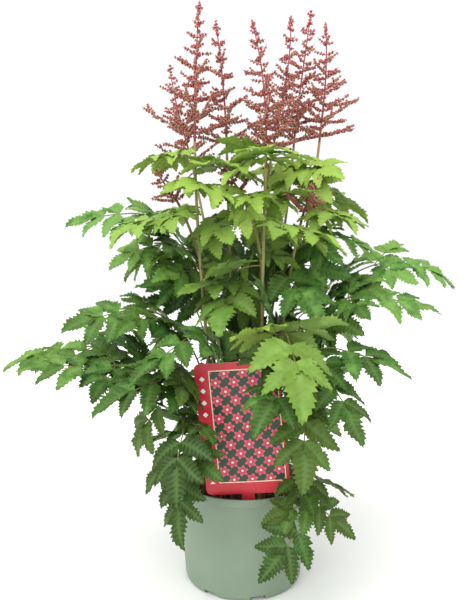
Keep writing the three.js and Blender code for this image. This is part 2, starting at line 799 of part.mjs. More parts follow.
// The places in the soil, from the middle outwards.
function crownPlaces() {
  return Array.from({ length: CROWN.places }, (_, i) => {
    const out = CROWN.radius * Math.sqrt((i + 0.5) / CROWN.places);
    return heading(i * CROWN.turn).multiplyScalar(out);
  });
}

// The free places nearest to the wanted one.
function nearest(wanted) {
  const distance = (p) => Math.hypot(p.x - wanted[0], p.y - wanted[1]);
  return [...places].sort((a, b) => distance(a) - distance(b)).slice(0, CROWN.tries);
}

const plant = new THREE.Group();

function add(name, manifold, material) {
  const mesh = new THREE.Mesh(geometryOf(manifold), material);
  mesh.name = name;
  plant.add(mesh);
}

const pot = potSolid();
const label = labelSolid();
let soil = soilSolid();
const fixed = [boxed(pot), boxed(label)];

// Stems first: each takes the first bow that keeps it clear of those before it.
const places = crownPlaces();
const stems = [];

// Takes the first of the roots and bows that leave the stalk room; a plume may touch its carrier.
function addStem(name, plan, roots, look, carrier) {
  const others = [...fixed];
  for (const stem of stems) if (stem.name !== carrier) others.push(stem.bare);
  for (const root of roots)
    for (const bow of BOWS) {
      const shape = plan(root, bow);
      const bare = boxed(bareSolid(shape));
      if (!hasRoom(bare.manifold, others)) continue;
      stems.push({ name, shape, bare, look });
      if (!root) return;
      places.splice(places.indexOf(root), 1);
      soil = soil.subtract(holeFor(root, shape));
      return;
    }
  throw new Error(`no room for the stem of ${name}`);
}

const STEM_GREEN = 0x8f9a5c;
const ROSE = 0xa8464b;
const LEAF_GREENS = [0x4f8a3c, 0x3f7a3a, 0x5f9a46, 0x447f44];
const LEAF_LIGHT = 0x8cb83c;

FLOWERS.forEach((flower, i) => {
  const plan = (root, bow) => flowerStalk(flower, i, root, bow);
  addStem(`stem_${flower[0]}`, plan, nearest(flower[1]), matte(STEM_GREEN, 0.6));
});
FLOWERS.forEach((flower, i) => {
  addStem(`plume_${flower[0]}`, () => plume(flower, i), [null], matte(ROSE, 0.8), `stem_${flower[0]}`);
});
LEAVES.forEach((leaf, i) => {
  const plan = (root, bow) => basalLeaf(leaf, i, root, bow);
  const colour = leaf[0] === "front_bright" ? LEAF_LIGHT : LEAF_GREENS[i % LEAF_GREENS.length];
  addStem(`leaf_${leaf[0]}`, plan, nearest(leaf[1]), matte(colour, 0.55));
});

// A plain square hole round the foot of a stem.
function holeFor(root, shape) {
  const { at, half } = shape.stops[0];
  const growth = new Growth();
  const deep = { ...at, p: along(at.p, UP, -GAP - 0.1) };
  const high = { ...at, p: vec(root.x, root.y, SOIL.top + 5) };
  const from = growth.ring(deep, half + SOIL.hole);
  const to = growth.ring(high, half + SOIL.hole);
  growth.quad([...from].reverse());
  growth.join(from, to);
  growth.quad(to);
  return solid(growth.geometry());
}

add("pot", pot, matte(0x8da08c, 0.45));
add("soil", soil.subtract(labelSolid(GAP + 0.1)), matte(0x3a2c22, 0.95));
add("label", label, matte(0xc8323c, 0.35));

// Then everything that grows on them, each limb bent clear of what is already there.
for (const stem of stems) {
  const rest = stems.filter((other) => other !== stem);
  const others = [...fixed, boxed(soil), ...rest.map((other) => other.full || other.bare)];
  const grown = fullSolid(stem.shape, stem.bare, others);
  stem.full = boxed(grown);
  add(stem.name, grown, stem.look);
}

export default plant;
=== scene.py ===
"""Looks of a potted astilbe in flower: cut leaves, plumes of buds, moulded pot, soil and card label.

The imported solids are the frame. Each leaf, stem and plume is grown again by the rule that placed its solid,
with the same draws, and each of its limbs takes the bend that the solid's limb took.
"""

import math

import bpy
import numpy as np
from bpy.props import FloatProperty, FloatVectorProperty, IntProperty, PointerProperty
from mathutils import Euler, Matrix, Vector
from mathutils.kdtree import KDTree


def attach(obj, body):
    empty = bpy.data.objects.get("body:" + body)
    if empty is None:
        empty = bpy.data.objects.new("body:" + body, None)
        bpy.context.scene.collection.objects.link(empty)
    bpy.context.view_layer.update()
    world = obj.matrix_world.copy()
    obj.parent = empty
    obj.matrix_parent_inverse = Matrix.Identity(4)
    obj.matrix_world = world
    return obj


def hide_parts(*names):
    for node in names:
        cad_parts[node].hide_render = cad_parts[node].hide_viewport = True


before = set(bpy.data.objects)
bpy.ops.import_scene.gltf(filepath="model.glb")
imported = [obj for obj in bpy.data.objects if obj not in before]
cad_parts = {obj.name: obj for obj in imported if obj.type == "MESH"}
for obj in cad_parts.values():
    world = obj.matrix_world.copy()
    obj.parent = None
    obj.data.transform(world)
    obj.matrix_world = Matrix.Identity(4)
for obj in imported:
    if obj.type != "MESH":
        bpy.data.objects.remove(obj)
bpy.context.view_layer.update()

bl_info = {
    "name": "Potted Astilbe",
    "version": (1, 0, 0),
    "blender": (4, 5, 0),
    "location": "View3D > Sidebar > Astilbe",
    "description": "Grows the leaves, stems, plumes, pot, soil and label of a potted astilbe on its solids",
    "category": "Add Mesh",
}

# ---- Sizes that the solids were grown with, in millimetres and degrees ----

MM = 0.001
POT = {
    "height": 123,
    "rim_radius": 85,
    "rim_height": 10,
    "rim_step": 2.5,
    "base_radius": 74,
    "edge_round": 6,
    "wall": 1.6,
    "floor_top": 7.5,
    "recess": 5.5,
    "pad_radius": 24,
    "foot_radius": 60,
    "notches": 8,
    "notch_width": 18,
    "notch_height": 6,
    "first_notch": 12.5,
    "drains": 4,
    "drain_radius": 6,
    "drain_circle": 42,
}
SOIL = {"top": 107, "edge_drop": 3, "crown": 66, "root_depth": 15}
LABEL = {
    "width": 98,
    "height": 158,
    "corner": 7,
    "thick": 0.8,
    "stake_width": 14,
    "stake_length": 62,
    "point_length": 12,
    "foot": (4.7, -76, 127.5),
    "yaw": -6,
    "lean": 4.7,
    "forward": 8,
}
PRINT = {
    "panel_middle": (6.5, 82),
    "panel_half": (38.5, 67),
    "keyline_half": 0.55,
    "rosette_pitch": 15,
    "petal": (0.3, 0.46),
    "heart": 0.1,
    "diamond_row": -40.5,
    "diamond_pitch": 14,
    "diamond_half": 3.2,
    "row_middle": 80,
    "row_half": 66,
}
CROWN = {"places": 48, "radius": 56, "turn": 137.508}
BLADE = {"rise": 0.16, "sag": 0.75, "droop": 20}
LEAF = {
    "pairs": ((82, 88, 62), (34, 72, 56)),
    "last": 92,
    "petiole_half": 1.5,
    "rachis_half": 0.75,
    "hang": -4,
    "into": 0.5,
    "steep": 0.62,
}
STEM_LEAF = {"last": 84, "side": 66, "angle": 58, "turn_over": 30, "turn_at": 0.55}
STALK = {"half_foot": 2.1, "half_top": 1.3}
SPRAY = {"axis_half": 1.4, "tip_half": 0.7, "lift": 24, "shrink": 1.4, "shortest": 9}
GAP = 0.3  # between the soil and the pot
MATCH = 0.05  # a solid's corner this near is the one looked for

# Where each series of random draws starts
LEAF_SHAPE_SEED, STALK_SHAPE_SEED, PLUME_SHAPE_SEED = 101, 301, 501
LEAF_SEED, STALK_SEED, PLUME_SEED, SOIL_SEED = 700, 900, 1300, 41

# Basal leaves: name, wanted place in the soil, end of the rachis, heading there, its fall, size, roll
LEAVES = (
    ("left_high", (-20, 4), (-154, 10, 468), 186, 6, 0.94, -30),
    ("left_inner", (-26, -4), (-104, -44, 421), 206, 14, 0.78, -28),
    ("left_middle", (-36, -4), (-142, -50, 341), 200, 10, 0.92, -30),
    ("left_far", (-44, 6), (-224, -20, 291), 180, 12, 0.96, -30),
    ("left_front", (-46, -8), (-182, -72, 273), 200, 12, 0.92, -30),
    ("left_near", (-30, -28), (-64, -108, 311), 214, 28, 0.94, -20),
    ("left_low", (-40, -24), (-94, -108, 265), 216, 34, 0.92, -20),
    ("left_trailing", (-54, -6), (-94, -88, 239), 212, 50, 0.88, -20),
    ("left_lowest", (-52, -16), (-68, -120, 207), 230, 46, 0.9, -12),
    ("front_left", (-50, -28), (-70, -122, 165), 228, 56, 0.84, -8),
    ("right_high", (22, -4), (112, -30, 433), -6, 12, 0.86, 28),
    ("right_far", (40, 8), (206, 2, 403), -4, 2, 0.98, 30),
    ("right_middle", (42, -6), (158, -50, 356), -16, 14, 0.92, 30),
    ("right_front", (46, -18), (108, -88, 297), -24, 12, 0.96, 26),
    ("front_bright", (36, -38), (44, -138, 313), -86, 32, 1.14, 0),
    ("right_low", (52, -10), (94, -106, 263), -60, 34, 0.92, 12),
    ("front_right", (46, -30), (62, -134, 233), -92, 50, 0.94, 8),
    ("front_hanging", (26, -50), (44, -146, 269), 200, 34, 0.94, -48),
    ("right_lowest", (54, -22), (62, -120, 109), -82, 68, 0.84, 4),
    ("front_high", (-8, -8), (-18, 20, 429), 256, 18, 1.1, -8),
    ("front_middle", (20, -20), (48, -58, 385), -64, 26, 1.06, 10),
    ("front_cross", (30, -36), (18, -120, 323), 196, 6, 0.96, -40),
    ("inner_left", (-14, 14), (-60, 34, 315), 168, 16, 1.0, -10),
    ("inner_right", (14, -2), (74, 14, 321), 10, 16, 1.0, 10),
    ("left_up", (-30, 12), (-104, 20, 425), 172, 18, 0.96, -30),
    ("right_up", (26, 16), (96, 30, 429), 8, 18, 0.96, 30),
    ("back_left", (-30, 32), (-110, 124, 363), 132, 22, 0.9, 8),
    ("back_middle", (2, 36), (10, 150, 403), 90, 20, 0.9, -8),
    ("back_right", (34, 34), (122, 118, 333), 44, 24, 0.9, 10),
    ("back_low", (-6, 52), (-20, 146, 253), 100, 38, 0.88, 10),
)

# Flower stems: name, wanted place, foot of the plume, its bow, tip, branches, length of the lowest
FLOWERS = (
    ("a", (-36, -34), (-60, -44, 547), (-4, 0), (-56, -14, 737), 16, 58),
    ("b", (-12, -22), (-21, -25, 545), (4, 0), (-35, -25, 705), 14, 44),
    ("c", (16, -44), (26, -62, 527), (12, 0), (10, -40, 699), 14, 47),
    ("d", (30, -12), (37, -15, 541), (14, 0), (61, -15, 717), 14, 48),
    ("e", (26, 34), (71, 38, 565), (0, 0), (95, 36, 753), 14, 54),
    ("f", (46, 6), (100, 0, 559), (10, 0), (108, 0, 717), 14, 62),
    ("g", (-4, -44), (-2, -52, 479), (-6, 0), (-30, -54, 525), 6, 26),
    ("h", (40, -30), (72, -42, 455), (-2, 0), (96, -48, 505), 6, 34),
    ("i", (-44, -14), (-80, -28, 471), (-6, 0), (-112, -28, 521), 6, 32),
    ("j", (-24, 42), (-70, 66, 541), (-10, 0), (-104, 70, 693), 10, 52),
)

# Leaves on the flower stems: stem, share of its height, heading, stalk, size, rise
STEM_LEAVES = (
    ("a", 0.95, 200, 18, 0.84, 22),
    ("a", 0.87, 292, 24, 1.0, 10),
    ("a", 0.8, 206, 30, 1.12, 6),
    ("b", 0.92, 250, 22, 1.05, 20),
    ("b", 0.8, 218, 24, 1.1, 10),
    ("b", 0.62, 262, 30, 1.18, 0),
    ("c", 0.96, 275, 24, 1.0, 24),
    ("c", 0.88, 214, 26, 1.05, 8),
    ("c", 0.8, 330, 30, 1.04, 6),
    ("c", 0.68, 186, 34, 1.1, 0),
    ("d", 0.72, 258, 30, 1.2, -4),
    ("d", 0.86, 290, 24, 1.1, 8),
    ("d", 0.96, 232, 16, 0.8, 30),
    ("e", 0.94, 256, 22, 1.0, 12),
    ("e", 0.86, 12, 36, 1.0, 14),
    ("e", 0.74, -54, 34, 1.05, 6),
    ("f", 0.94, 232, 22, 1.0, 14),
    ("f", 0.8, -58, 24, 1.0, 4),
    ("i", 0.84, 190, 26, 0.76, 14),
    ("j", 0.87, 150, 30, 0.9, 20),
)


def rings(sizes, count):
    """(0, 0), then evenly spaced points on circles of these sizes."""
    points = [(0.0, 0.0)]
    for size in sizes:
        for i in range(count):
            angle = 2 * math.pi * i / count
            points.append((size * math.cos(angle), size * math.sin(angle)))
    return points


# What a solid may have taken to clear its neighbours, least first: the bow of a stem (right, up) and the
# bend of a limb (sideways, up, share of its size)
BOWS = rings((9, 18, 28, 40, 54), 8)
BENDS = [(*bend, size) for size in (1, 0.84, 0.68) for bend in rings((10, 20, 30, 42, 54), 8)]

# ---- Places along a curve ----


def vec(x, y, z):
    return np.array((x, y, z), float)


UP = vec(0, 0, 1)


def unit(v):
    return v / math.sqrt(v @ v)


def heading(angle):
    return vec(math.cos(math.radians(angle)), math.sin(math.radians(angle)), 0)


def towards(a, b, angle):
    """The direction a, turned by an angle towards b."""
    return a * math.cos(math.radians(angle)) + b * math.sin(math.radians(angle))


def lerp(a, b, share):
    return a + (b - a) * share


class Place:
    """A point p with the directions forward f, right r and up u."""

    def __init__(self, p, forward, up):
        self.p = p
        self.f = unit(forward)
        self.r = unit(np.cross(self.f, up))
        self.u = np.cross(self.r, self.f)

    def turned(self, swing, lift, roll=0):
        f = towards(towards(self.f, self.r, swing), self.u, lift)
        flat = Place(self.p, f, self.u)
        return Place(self.p, f, towards(flat.u, flat.r, roll))

    def moved(self, p):
        return Place(p, self.f, self.u)


def spaced(at, length, count):
    """Places at even distances along something of this length, where at gives the place at a distance."""
    return [at(length * i / count) for i in range(count + 1)]


def circle(count):
    """Evenly spaced angles all round."""
    return np.linspace(0, 2 * math.pi, count, endpoint=False)


def series(seed):
    """A repeatable series of draws between two numbers."""
    state = [(seed * 2654435761) % 4294967296]

    def draw(low, high):
        state[0] = (state[0] * 1664525 + 1013904223) % 4294967296
        return low + (high - low) * state[0] / 4294967296

    return draw


class Walk:
    """A Bezier curve walked by length, with `right` kept on the right and a roll that grows to the end."""

    STEPS = 60

    def __init__(self, points, right, roll=0):
        self.points = points
        self.right = right
        self.roll = roll
        a, b, c, d = points
        t = np.linspace(0, 1, self.STEPS + 1)[:, None]
        s = 1 - t
        self.marks = a * s**3 + b * 3 * s**2 * t + c * 3 * s * t**2 + d * t**3
        steps = np.linalg.norm(np.diff(self.marks, axis=0), axis=1)
        self.lengths = np.concatenate(([0.0], np.cumsum(steps)))
        self.length = self.lengths[-1]

    def at(self, distance):
        wanted = min(max(distance, 0), self.length)
        i = 1
        while i < self.STEPS and self.lengths[i] < wanted:
            i += 1
        share = (wanted - self.lengths[i - 1]) / (self.lengths[i] - self.lengths[i - 1])
        a, b, c, d = self.points
        t = (i - 1 + share) / self.STEPS
        s = 1 - t
        f = unit((b - a) * 3 * s * s + (c - b) * 6 * s * t + (d - c) * 3 * t * t)
        r = unit(self.right - f * (self.right @ f))
        up = towards(np.cross(r, f), r, self.roll * (wanted / self.length) ** 2)
        return Place(lerp(self.marks[i - 1], self.marks[i], share), f, up)


# ---- The rule that placed the solids ----


class Blade:
    """A cut blade on an arched rib. on(along, out) is a point of it, in shares of its length."""

    def __init__(self, at, length, droop):
        self.at = at
        self.length = length
        self.bend = math.radians(droop)

    def on(self, along, out):
        """Points and the blade's up there, for arrays of shares along and out to the right."""
        turn = (self.bend * along)[..., None]
        ahead = self.length * np.sin(turn) / self.bend
        down = self.length * (1 - np.cos(turn)) / self.bend
        up = self.at.u * np.cos(turn) + self.at.f * np.sin(turn)
        height = (BLADE["rise"] * np.abs(out) - BLADE["sag"] * out**2) * self.length
        points = self.at.p + self.at.f * ahead - self.at.u * down
        points = points + self.at.r * (out * self.length)[..., None] + up * height[..., None]
        return points, up

    def mark(self):
        """Its tip, where the solid has a corner."""
        return self.on(np.array(1.0), np.array(0.0))[0]


def sprout(at, half, side, swing, lift):
    """The place where a limb starts on a side of a stalk."""
    out = at.r * side
    return Place(at.p + out * half, out, at.u).turned(side * (swing - 90), lift)


def blade_plan(at, length, draw):
    swing = draw(-7, 7)
    lift = draw(-8, 8)
    roll = draw(-12, 12)
    size = length * draw(0.92, 1.08)
    droop = BLADE["droop"] + draw(-14, 14)
    return lambda bend: Blade(at.turned(swing + bend[0], lift + bend[1], roll), size * bend[2], droop)


class Spray:
    """A straight branch of a plume."""

    def __init__(self, at, length):
        self.at = at
        self.length = length

    def mark(self):
        return self.at.p + self.at.f * self.length


def spray_plan(at, length):
    return lambda bend: Spray(at.turned(*bend[:2]), length * bend[2] / (1 + 0.012 * abs(bend[1])))


class Twig:
    """The stalk of a leaf on a flower stem, with the plans of its three blades."""

    def __init__(self, at, reach, size, swing, rise, seed, bend):
        start = at.turned(swing + bend[0], rise + bend[1])
        over = at.turned(swing + bend[0], rise + bend[1] - STEM_LEAF["turn_over"])
        middle = start.p + start.f * reach * STEM_LEAF["turn_at"]
        stop = middle + over.f * reach * (1 - STEM_LEAF["turn_at"])
        self.path = Walk((start.p, middle, lerp(middle, stop, 0.5), stop), start.r)
        draw = series(seed)
        half = LEAF["rachis_half"]
        fork = self.path.at(self.path.length - 1.2)
        self.plans = []
        for side in (-1, 1):
            base = sprout(fork, half, side, STEM_LEAF["angle"], LEAF["hang"])
            self.plans.append(blade_plan(base, STEM_LEAF["side"] * size, draw))
        end = self.path.at(self.path.length)
        self.plans.append(blade_plan(end, STEM_LEAF["last"] * size, draw))
        self.corner = end.p + (end.r - end.u) * half

    def mark(self):
        return self.corner


def basal_leaf(row, index, root, bow):
    """The path of a basal leaf and the plans of its blades."""
    _, _, end, turn, fall, size, roll = row
    out = heading(turn)
    right = np.cross(out, UP)
    start = vec(root[0], root[1], SOIL["top"] + 4)
    stop = vec(*end)
    reach = math.hypot(stop[0] - start[0], stop[1] - start[1])
    rise = stop[2] - start[2]
    push = right * bow[0] + UP * bow[1]
    back = LEAF["into"] * reach + 0.06 * abs(rise)
    before = stop - towards(out, UP, -fall) * back + push
    above = start + UP * (max(LEAF["steep"] * rise, 50) + 0.5 * bow[1])
    path = Walk((start, above, before, stop), right, roll)
    draw = series(index + LEAF_SHAPE_SEED)
    plans = []
    for back, length, angle in LEAF["pairs"]:
        middle = path.length - back * size
        at = path.at(middle)
        half = lerp(LEAF["petiole_half"], LEAF["rachis_half"], middle / path.length)
        for side in (-1, 1):
            plans.append(blade_plan(sprout(at, half, side, angle, LEAF["hang"]), length * size, draw))
    plans.append(blade_plan(path.at(path.length), LEAF["last"] * size, draw))
    return path, plans


def flower_points(foot, bow, tip):
    """The way that a plume sets out, and its curve."""
    length = math.sqrt((tip - foot) @ (tip - foot))
    bowed = lerp(foot, tip, 0.5) + vec(bow[0], bow[1], 0)
    into = unit(unit(bowed - foot) + UP * 0.6)
    return into, (foot, foot + into * 0.3 * length, lerp(bowed, tip, 0.25), tip)


def flower_stalk(row, index, root, shift):
    """The path of a flower stem and the plans of the leaves on it."""
    name, _, foot, bow, tip, _, _ = row
    draw = series(index + STALK_SHAPE_SEED)
    right = heading(draw(-20, 20))
    start = vec(root[0], root[1], SOIL["top"] + 4)
    stop = vec(*foot)
    into, _ = flower_points(stop, bow, vec(*tip))
    rise = stop[2] - start[2]
    push = right * shift[0] + UP * shift[1] * 0.4
    path = Walk((start, start + UP * 0.35 * rise, stop - into * 0.35 * rise + push, stop), right)
    plans = []
    own = [leaf for leaf in STEM_LEAVES if leaf[0] == name]
    for _, share, turn, reach, size, up in sorted(own, key=lambda leaf: leaf[1]):
        wide = lerp(STALK["half_foot"], STALK["half_top"], share)
        at = path.at(share * path.length)
        out = heading(turn)
        faces = (-at.u, -at.r, at.u, at.r)
        facing = max(faces, key=lambda face: face @ out)
        base = Place(at.p + facing * wide, out, UP)
        swing = draw(-5, 5)
        seed = math.floor(draw(1, 1e5))
        plans.append(lambda bend, given=(base, reach, size, swing, up, seed): Twig(*given, bend))
    return path, plans


def plume_axis(row, index):
    """The path of a plume's axis and the plans of its branches, each with its share of the height."""
    _, _, foot, bow, tip, branches, longest = row
    draw = series(index + PLUME_SHAPE_SEED)
    _, points = flower_points(vec(*foot), bow, vec(*tip))
    path = Walk(points, heading(draw(0, 90)))
    plans = []
    pairs = branches // 2
    for i in range(pairs):
        share = (i + 0.25) / (pairs + 0.3)
        half = lerp(SPRAY["axis_half"], SPRAY["tip_half"], share)
        at = path.at(4 + share * (path.length - 12))
        for out in (-at.u, at.u) if i % 2 else (-at.r, at.r):
            base = Place(at.p + out * half, out, at.f)
            start = base.turned(draw(-30, 30), SPRAY["lift"] + draw(-8, 8))
            length = longest * (1 - share) ** SPRAY["shrink"] + SPRAY["shortest"]
            plans.append((share, spray_plan(start, length * draw(0.8, 1.1))))
    return path, plans


class Corners:
    """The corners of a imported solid, in millimetres."""

    def __init__(self, node):
        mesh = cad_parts[node].data
        flat = np.empty(len(mesh.vertices) * 3)
        mesh.vertices.foreach_get("co", flat)
        self.points = flat.reshape(-1, 3) / MM
        self.tree = KDTree(len(self.points))
        for i, p in enumerate(self.points):
            self.tree.insert(p, i)
        self.tree.balance()

    def has(self, p):
        return self.tree.find(p)[2] < MATCH

    def root(self):
        """The place in the soil where the stem stands."""
        deep = np.abs(self.points[:, 2] - (SOIL["top"] - SOIL["root_depth"])) < MATCH
        low = self.points[deep & (np.hypot(*self.points[:, :2].T) < SOIL["crown"])].mean(0)
        places = [
            heading(i * CROWN["turn"]) * CROWN["radius"] * math.sqrt((i + 0.5) / CROWN["places"])
            for i in range(CROWN["places"])
        ]
        return min(places, key=lambda p: math.hypot(p[0] - low[0], p[1] - low[1]))


def as_grown(plans, corners):
    """The limbs that the solid has, each with the bend that it took there."""
    limbs = []
    for plan in plans:
        for bend in BENDS:
            limb = plan(bend)
            if corners.has(limb.mark()):
                limbs.append(limb)
                break
    return limbs


def as_bowed(rule, row, index, corners, checks):
    """The path and plans of a stem, with the bow that its solid took."""
    root = corners.root()
    for bow in BOWS:
        path, plans = rule(row, index, root, bow)
        if all(corners.has(corner) for corner in checks(path)):
            return path, plans
    raise RuntimeError(f"no bow fits the solid of {row[0]}")


# ---- Building meshes ----


SHARP = {"leaflet": 100, "pot": 35, "card": 40}  # degrees from which an edge is shaded as sharp


class Shape:
    """Points in millimetres, faces, the material of each face and the paint of each point.

    The paint holds four shares: vein or rose, edge, tone and age; on a leaf the tone also carries painted
    shade and painted light by the leaflet's place.
    """

    def __init__(self):
        self.points = []
        self.paint = []
        self.faces = []
        self.looks = []
        self.count = 0

    def add(self, points, faces, look, paint):
        """look is one material number or one for each face; paint is one row or one for each point."""
        points = np.asarray(points, float).reshape(-1, 3)
        self.points.append(points)
        self.paint.append(np.broadcast_to(np.asarray(paint, float), (len(points), 4)))
        self.faces.extend([tuple(i + self.count for i in face) for face in faces])
        self.looks.extend([look] * len(faces) if isinstance(look, int) else look)
        self.count += len(points)

    def piece(self, name, materials, slot, *nodes):
        """The finished object, which rides on the plant and stands for these solids."""
        mesh = bpy.data.meshes.new(name)
        mesh.from_pydata(np.concatenate(self.points) * MM, [], self.faces)
        for material in materials:
            mesh.materials.append(material)
        mesh.polygons.foreach_set("material_index", self.looks)
        mesh.polygons.foreach_set("use_smooth", [True] * len(self.faces))
        paint = mesh.attributes.new("paint", "FLOAT_COLOR", "POINT")
        paint.data.foreach_set("color", np.concatenate(self.paint).ravel())
        mesh.update()
        mesh.set_sharp_from_angle(angle=math.radians(SHARP["leaflet"]))
        made = bpy.data.objects.new(name, mesh)
        bpy.context.scene.collection.objects.link(made)
        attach(made, "root")
        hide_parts(*nodes)
        return made


def grid_faces(rows, columns, around=False, start=0):
    """Quads of a grid of points; their normal is that of columns x rows."""
    faces = []
    span = columns if around else columns - 1
    for i in range(rows - 1):
        for j in range(span):
            a = start + i * columns + j
            b = start + i * columns + (j + 1) % columns
            faces.append((a, b, b + columns, a + columns))
    return faces


def closed_faces(rows, columns):
    """Faces round a grid of rings, with a fan at each end to one of the two points after the grid."""
    faces = [(a, d, c, b) for a, b, c, d in grid_faces(rows, columns, around=True)]
    first, last = rows * columns, rows * columns + 1
    for j in range(columns):
        k = (j + 1) % columns
        faces.append((first, j, k))
        faces.append((last, first - columns + k, first - columns + j))
    return faces


def tube(shape, places, radii, sides, look, red):
    """A round stalk through these places, closed at both ends; red is one share or one for each place."""
    angles = circle(sides)
    points = [
        place.p + radius * (np.outer(np.cos(angles), place.r) + np.outer(np.sin(angles), place.u))
        for place, radius in zip(places, radii)
    ]
    points.append([places[0].p, places[-1].p + places[-1].f * radii[-1] * 0.6])
    reds = np.broadcast_to(red, len(places))
    paint = np.zeros((len(places) * sides + 2, 4))
    paint[:, 0] = np.concatenate((np.repeat(reds, sides), reds[[0, -1]]))
    shape.add(np.concatenate(points), closed_faces(len(places), sides), look, paint)


# ---- Materials ----


def linear(code):
    """An sRGB hex colour as linear red, green and blue."""
    shares = [int(code[i : i + 2], 16) / 255 for i in (0, 2, 4)]
    return tuple(s / 12.92 if s <= 0.04045 else ((s + 0.055) / 1.055) ** 2.4 for s in shares)


def add_node(material, kind, links=None, **settings):
    """Adds a shader node with its settings; links maps an input to a constant, an output or a node."""
    node = material.node_tree.nodes.new(f"ShaderNode{kind}")
    for name, value in settings.items():
        setattr(node, name, value)
    for name, value in (links or {}).items():
        socket = node.inputs[name]
        if isinstance(value, bpy.types.Node):
            value = next(output for output in value.outputs if output.enabled)
        if isinstance(value, bpy.types.NodeSocket):
            material.node_tree.links.new(value, socket)
        else:
            colour = socket.type == "RGBA" and len(value) == 3
            socket.default_value = (*value, 1) if colour else value
    return node


FACTOR, FIRST, SECOND = 0, 6, 7  # inputs of a Mix node that mixes colours


def blank(name):
    """A new material without a shader, and the place on the object in it."""
    material = bpy.data.materials.new(name)
    material.use_nodes = True
    material.node_tree.nodes.clear()
    return material, add_node(material, "TexCoord").outputs["Object"]


def painted(name):
    """The same, with the four shares of a shape's paint."""
    m, where = blank(name)
    paint = add_node(m, "VertexColor", layer_name="paint")
    parts = add_node(m, "SeparateColor", {"Color": paint})
    return m, where, (*parts.outputs, paint.outputs["Alpha"])


def finish_material(material, colour, roughness, height, depth, **constants):
    """Ends a material in one Principled shader, with height in millimetres of depth as bump."""
    bump = add_node(material, "Bump", {"Height": height, "Strength": 1.0, "Distance": depth * MM})
    links = {"Base Color": colour, "Roughness": roughness, "Normal": bump}
    links.update(constants)
    shader = add_node(material, "BsdfPrincipled", links)
    add_node(material, "OutputMaterial", {"Surface": shader})
    return material


def leaf_cuticle(name, dark, middle, light, settings):
    """Living leaf with its waxy cuticle: green in patches, painted shade inside the plant and painted light
    outside and at the top, paler veins, a satin gleam and a fine net.
    """
    m, where, (vein, edge, tone, age) = painted(name)
    patches = add_node(m, "TexNoise", {"Vector": where, "Scale": 1 / (14 * MM), "Detail": 3.0})
    blotch = add_node(
        m, "MapRange", {"Value": patches, "From Min": 0.3, "From Max": 0.7, "To Min": -0.36, "To Max": 0.26}
    )
    # The tone holds painted shade inside the plant and painted light outside and at the top, plus a random
    # tone; the blotches add random patches
    uneven = add_node(m, "Math", {0: tone, 1: blotch}, operation="ADD", use_clamp=True)
    low = add_node(m, "MapRange", {"Value": uneven, "From Min": 0.0, "From Max": 0.5})
    high = add_node(m, "MapRange", {"Value": uneven, "From Min": 0.5, "From Max": 1.0})
    rib = add_node(m, "Math", {0: vein, 1: settings.vein_strength}, operation="MULTIPLY")
    tan = add_node(m, "Math", {0: edge, 1: patches}, operation="MULTIPLY")
    tinged = add_node(m, "Math", {0: tan, 1: 0.12}, operation="MULTIPLY")
    colour = dark
    for share, over in (
        (low, middle),
        (high, light),
        (age, settings.young),
        (rib, settings.vein),
        (tinged, settings.margin),
    ):
        colour = add_node(m, "Mix", {FACTOR: share, FIRST: colour, SECOND: over}, data_type="RGBA")
    # The net of veinlets is about half a millimetre wide, and drawn coarser so that it shows
    net = add_node(m, "TexVoronoi", {"Vector": where, "Scale": 1 / (1.4 * MM)}, feature="DISTANCE_TO_EDGE")
    wrinkles = add_node(m, "TexNoise", {"Vector": where, "Scale": 1 / (6 * MM), "Detail": 2.0})
    relief = add_node(m, "Math", {0: wrinkles, 1: 7.0, 2: net}, operation="MULTIPLY_ADD")
    gleam = add_node(
        m,
        "MapRange",
        {"Value": patches, "To Min": settings.roughness - 0.14, "To Max": settings.roughness + 0.1},
    )
    return finish_material(m, colour, gleam, relief, 0.16, **{"IOR": 1.42, "Specular IOR Level": 0.17})


def stalk_skin(name, low, high, fleck, grain):
    """Green stalk skin: finely ribbed, reddish where the sun reaches it, with short hairs as flecks."""
    m, where, (red, _, _, _) = painted(name)
    stretched = add_node(m, "Mapping", {"Vector": where, "Scale": (1.0, 1.0, 0.15)})
    # Ribs and hairs are a few tenths of a millimetre apart, and drawn coarser so that they show
    ribs = add_node(
        m, "TexNoise", {"Vector": stretched, "Scale": 1 / (grain * MM), "Detail": 4.0, "Roughness": 0.6}
    )
    skin = add_node(m, "Mix", {FACTOR: red, FIRST: low, SECOND: high}, data_type="RGBA")
    streak = add_node(m, "MapRange", {"Value": ribs, "From Min": 0.45, "From Max": 0.75, "To Max": 0.55})
    flecked = add_node(m, "Mix", {FACTOR: streak, FIRST: skin, SECOND: fleck}, data_type="RGBA")
    dull = add_node(m, "MapRange", {"Value": ribs, "To Min": 0.45, "To Max": 0.7})
    return finish_material(m, flecked, dull, ribs, 0.3, IOR=1.45)


def bud_skin(settings):
    """Closed buds: matte, brown-red low on the plume and rose where they are about to open."""
    m, where, (rose, tip, tone, green) = painted("bud_skin")
    # Bracts a third of a millimetre wide, drawn coarser so that they show
    grain = add_node(m, "TexNoise", {"Vector": where, "Scale": 1 / (1.1 * MM), "Detail": 2.0})
    colour = settings.shaded
    for share, over in (
        (tone, settings.brick),
        (rose, settings.rose),
        (tip, settings.tip),
        (green, settings.fleck),
    ):
        colour = add_node(m, "Mix", {FACTOR: share, FIRST: colour, SECOND: over}, data_type="RGBA")
    dull = add_node(m, "MapRange", {"Value": grain, "To Min": 0.55, "To Max": 0.8})
    return finish_material(m, colour, dull, grain, 0.2, IOR=1.45)


